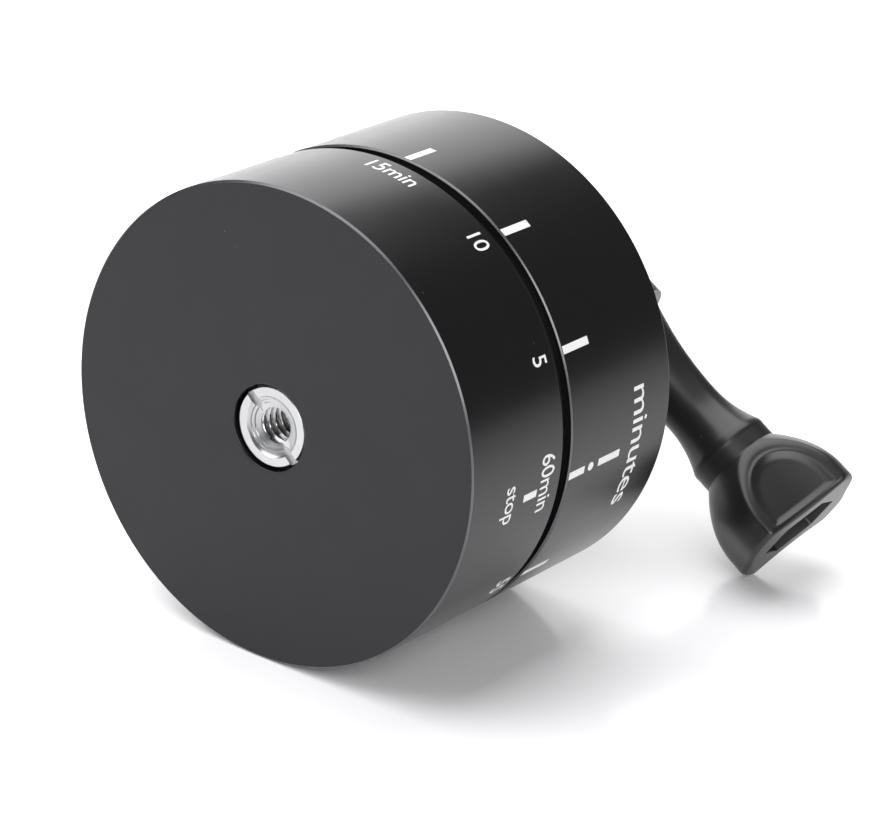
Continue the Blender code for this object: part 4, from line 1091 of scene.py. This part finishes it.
class PANHEAD_OT_stage(bpy.types.Operator):
    """Sets the table, the room's light and the camera"""

    bl_idname = "panhead.stage"
    bl_label = "Stage"

    def table(self, settings):
        shape = bmesh.new()
        bmesh.ops.create_grid(shape, x_segments=2, y_segments=2, size=3.0)
        material = bpy.data.materials.new("table_top")
        material.use_nodes = True
        tree = material.node_tree
        shader = tree.nodes["Principled BSDF"]
        shader.inputs["Base Color"].default_value = (*settings.floor_color, 1)
        haze = tree.nodes.new("ShaderNodeTexNoise")
        haze.inputs["Scale"].default_value = 3.0
        spread = math_node(tree, "MULTIPLY", haze.outputs["Fac"], 0.04)
        tree.links.new(math_node(tree, "ADD", spread, 0.16), shader.inputs["Roughness"])
        mesh = to_mesh(shape, "table", Matrix.Translation((0, 0, -0.00002)), [material])
        table = placed("table", mesh)

    def area(self, name, place, aim, size, power):
        light = bpy.data.lights.new(name, "AREA")
        light.shape = "RECTANGLE"
        light.size, light.size_y = size
        light.energy = power
        lamp = placed(name, light)
        lamp.location = place
        lamp.rotation_euler = (Vector(aim) - Vector(place)).to_track_quat("-Z", "Y").to_euler()

    def camera(self, settings):
        data = bpy.data.cameras.new("camera")
        data.lens = settings.lens
        data.sensor_width = 36.0
        data.clip_start = 0.01
        data.dof.use_dof = False
        made = placed("camera", data)
        right = Vector((0.79918, 0.59669, 0.07273))
        up = Vector((-0.28332, 0.26718, 0.92106))
        back = Vector((0.53015, -0.75669, 0.38258))
        turn = Matrix((right, up, back)).transposed().to_4x4()
        spot = Vector((AXIS_X + 0.27478, FACE_Y - 0.35017, 0.22318))
        made.matrix_world = Matrix.Translation(spot) @ turn
        bpy.context.scene.camera = made

    def room(self, settings):
        world = bpy.data.worlds.new("room")
        world.use_nodes = True
        back = world.node_tree.nodes["Background"]
        preset(back, {"Color": (1, 1, 1, 1), "Strength": settings.sky})
        bpy.context.scene.world = world

    def execute(self, context):
        settings = context.scene.panning_stage
        self.table(settings)
        self.camera(settings)
        self.room(settings)
        self.area("overhead", (-0.38, 0.0, 0.95), (-0.38, 0.0, 0), (1.2, 1.5), settings.overhead)
        self.area("back_left", (-0.72, 0.95, 0.42), (0, 0, 0.05), (1.0, 0.85), settings.back)
        self.area("front_left", (-0.75, -1.0, 0.75), (0, -0.05, 0), (0.9, 0.9), settings.front)
        self.area("front_right", (0.95, -0.85, 0.65), (0, -0.05, 0), (1.2, 0.9), settings.fill)
        context.scene.view_settings.view_transform = "Standard"
        return {"FINISHED"}


# ---------------- panel and registration

STEPS = (
    PANHEAD_OT_stage, PANHEAD_OT_housings, PANHEAD_OT_glide_ring, PANHEAD_OT_dial_marks,
    PANHEAD_OT_tripod_bush, PANHEAD_OT_camera_stud, PANHEAD_OT_adapter, PANHEAD_OT_thumbscrew,
    PANHEAD_OT_clockwork,
)
SETTINGS = {
    "panning_housing": HousingSettings, "panning_marks": MarkSettings,
    "panning_thumbscrew": ThumbscrewSettings, "panning_metal": MetalSettings,
    "panning_stage": StageSettings,
}


class PANHEAD_PT_builder(bpy.types.Panel):
    """Lists the building steps and their settings"""

    bl_idname = "PANHEAD_PT_builder"
    bl_label = "Panning Head"
    bl_space_type = "VIEW_3D"
    bl_region_type = "UI"
    bl_category = "Panning Head"

    def draw(self, context):
        for step in STEPS:
            self.layout.operator(step.bl_idname)
        for name in SETTINGS:
            group = getattr(context.scene, name)
            box = self.layout.box()
            for label in group.__annotations__:
                box.prop(group, label)


def register():
    for group in SETTINGS.values():
        bpy.utils.register_class(group)
    for name, group in SETTINGS.items():
        setattr(bpy.types.Scene, name, bpy.props.PointerProperty(type=group))
    for step in STEPS:
        bpy.utils.register_class(step)
    bpy.utils.register_class(PANHEAD_PT_builder)


def unregister():
    bpy.utils.unregister_class(PANHEAD_PT_builder)
    for step in reversed(STEPS):
        bpy.utils.unregister_class(step)
    for name, group in SETTINGS.items():
        delattr(bpy.types.Scene, name)
        bpy.utils.unregister_class(group)


def main():
    register()
    for step in STEPS:
        getattr(bpy.ops.panhead, step.bl_idname.partition(".")[2])()
    bpy.context.view_layer.update()


if __name__ == "__main__":
    main()
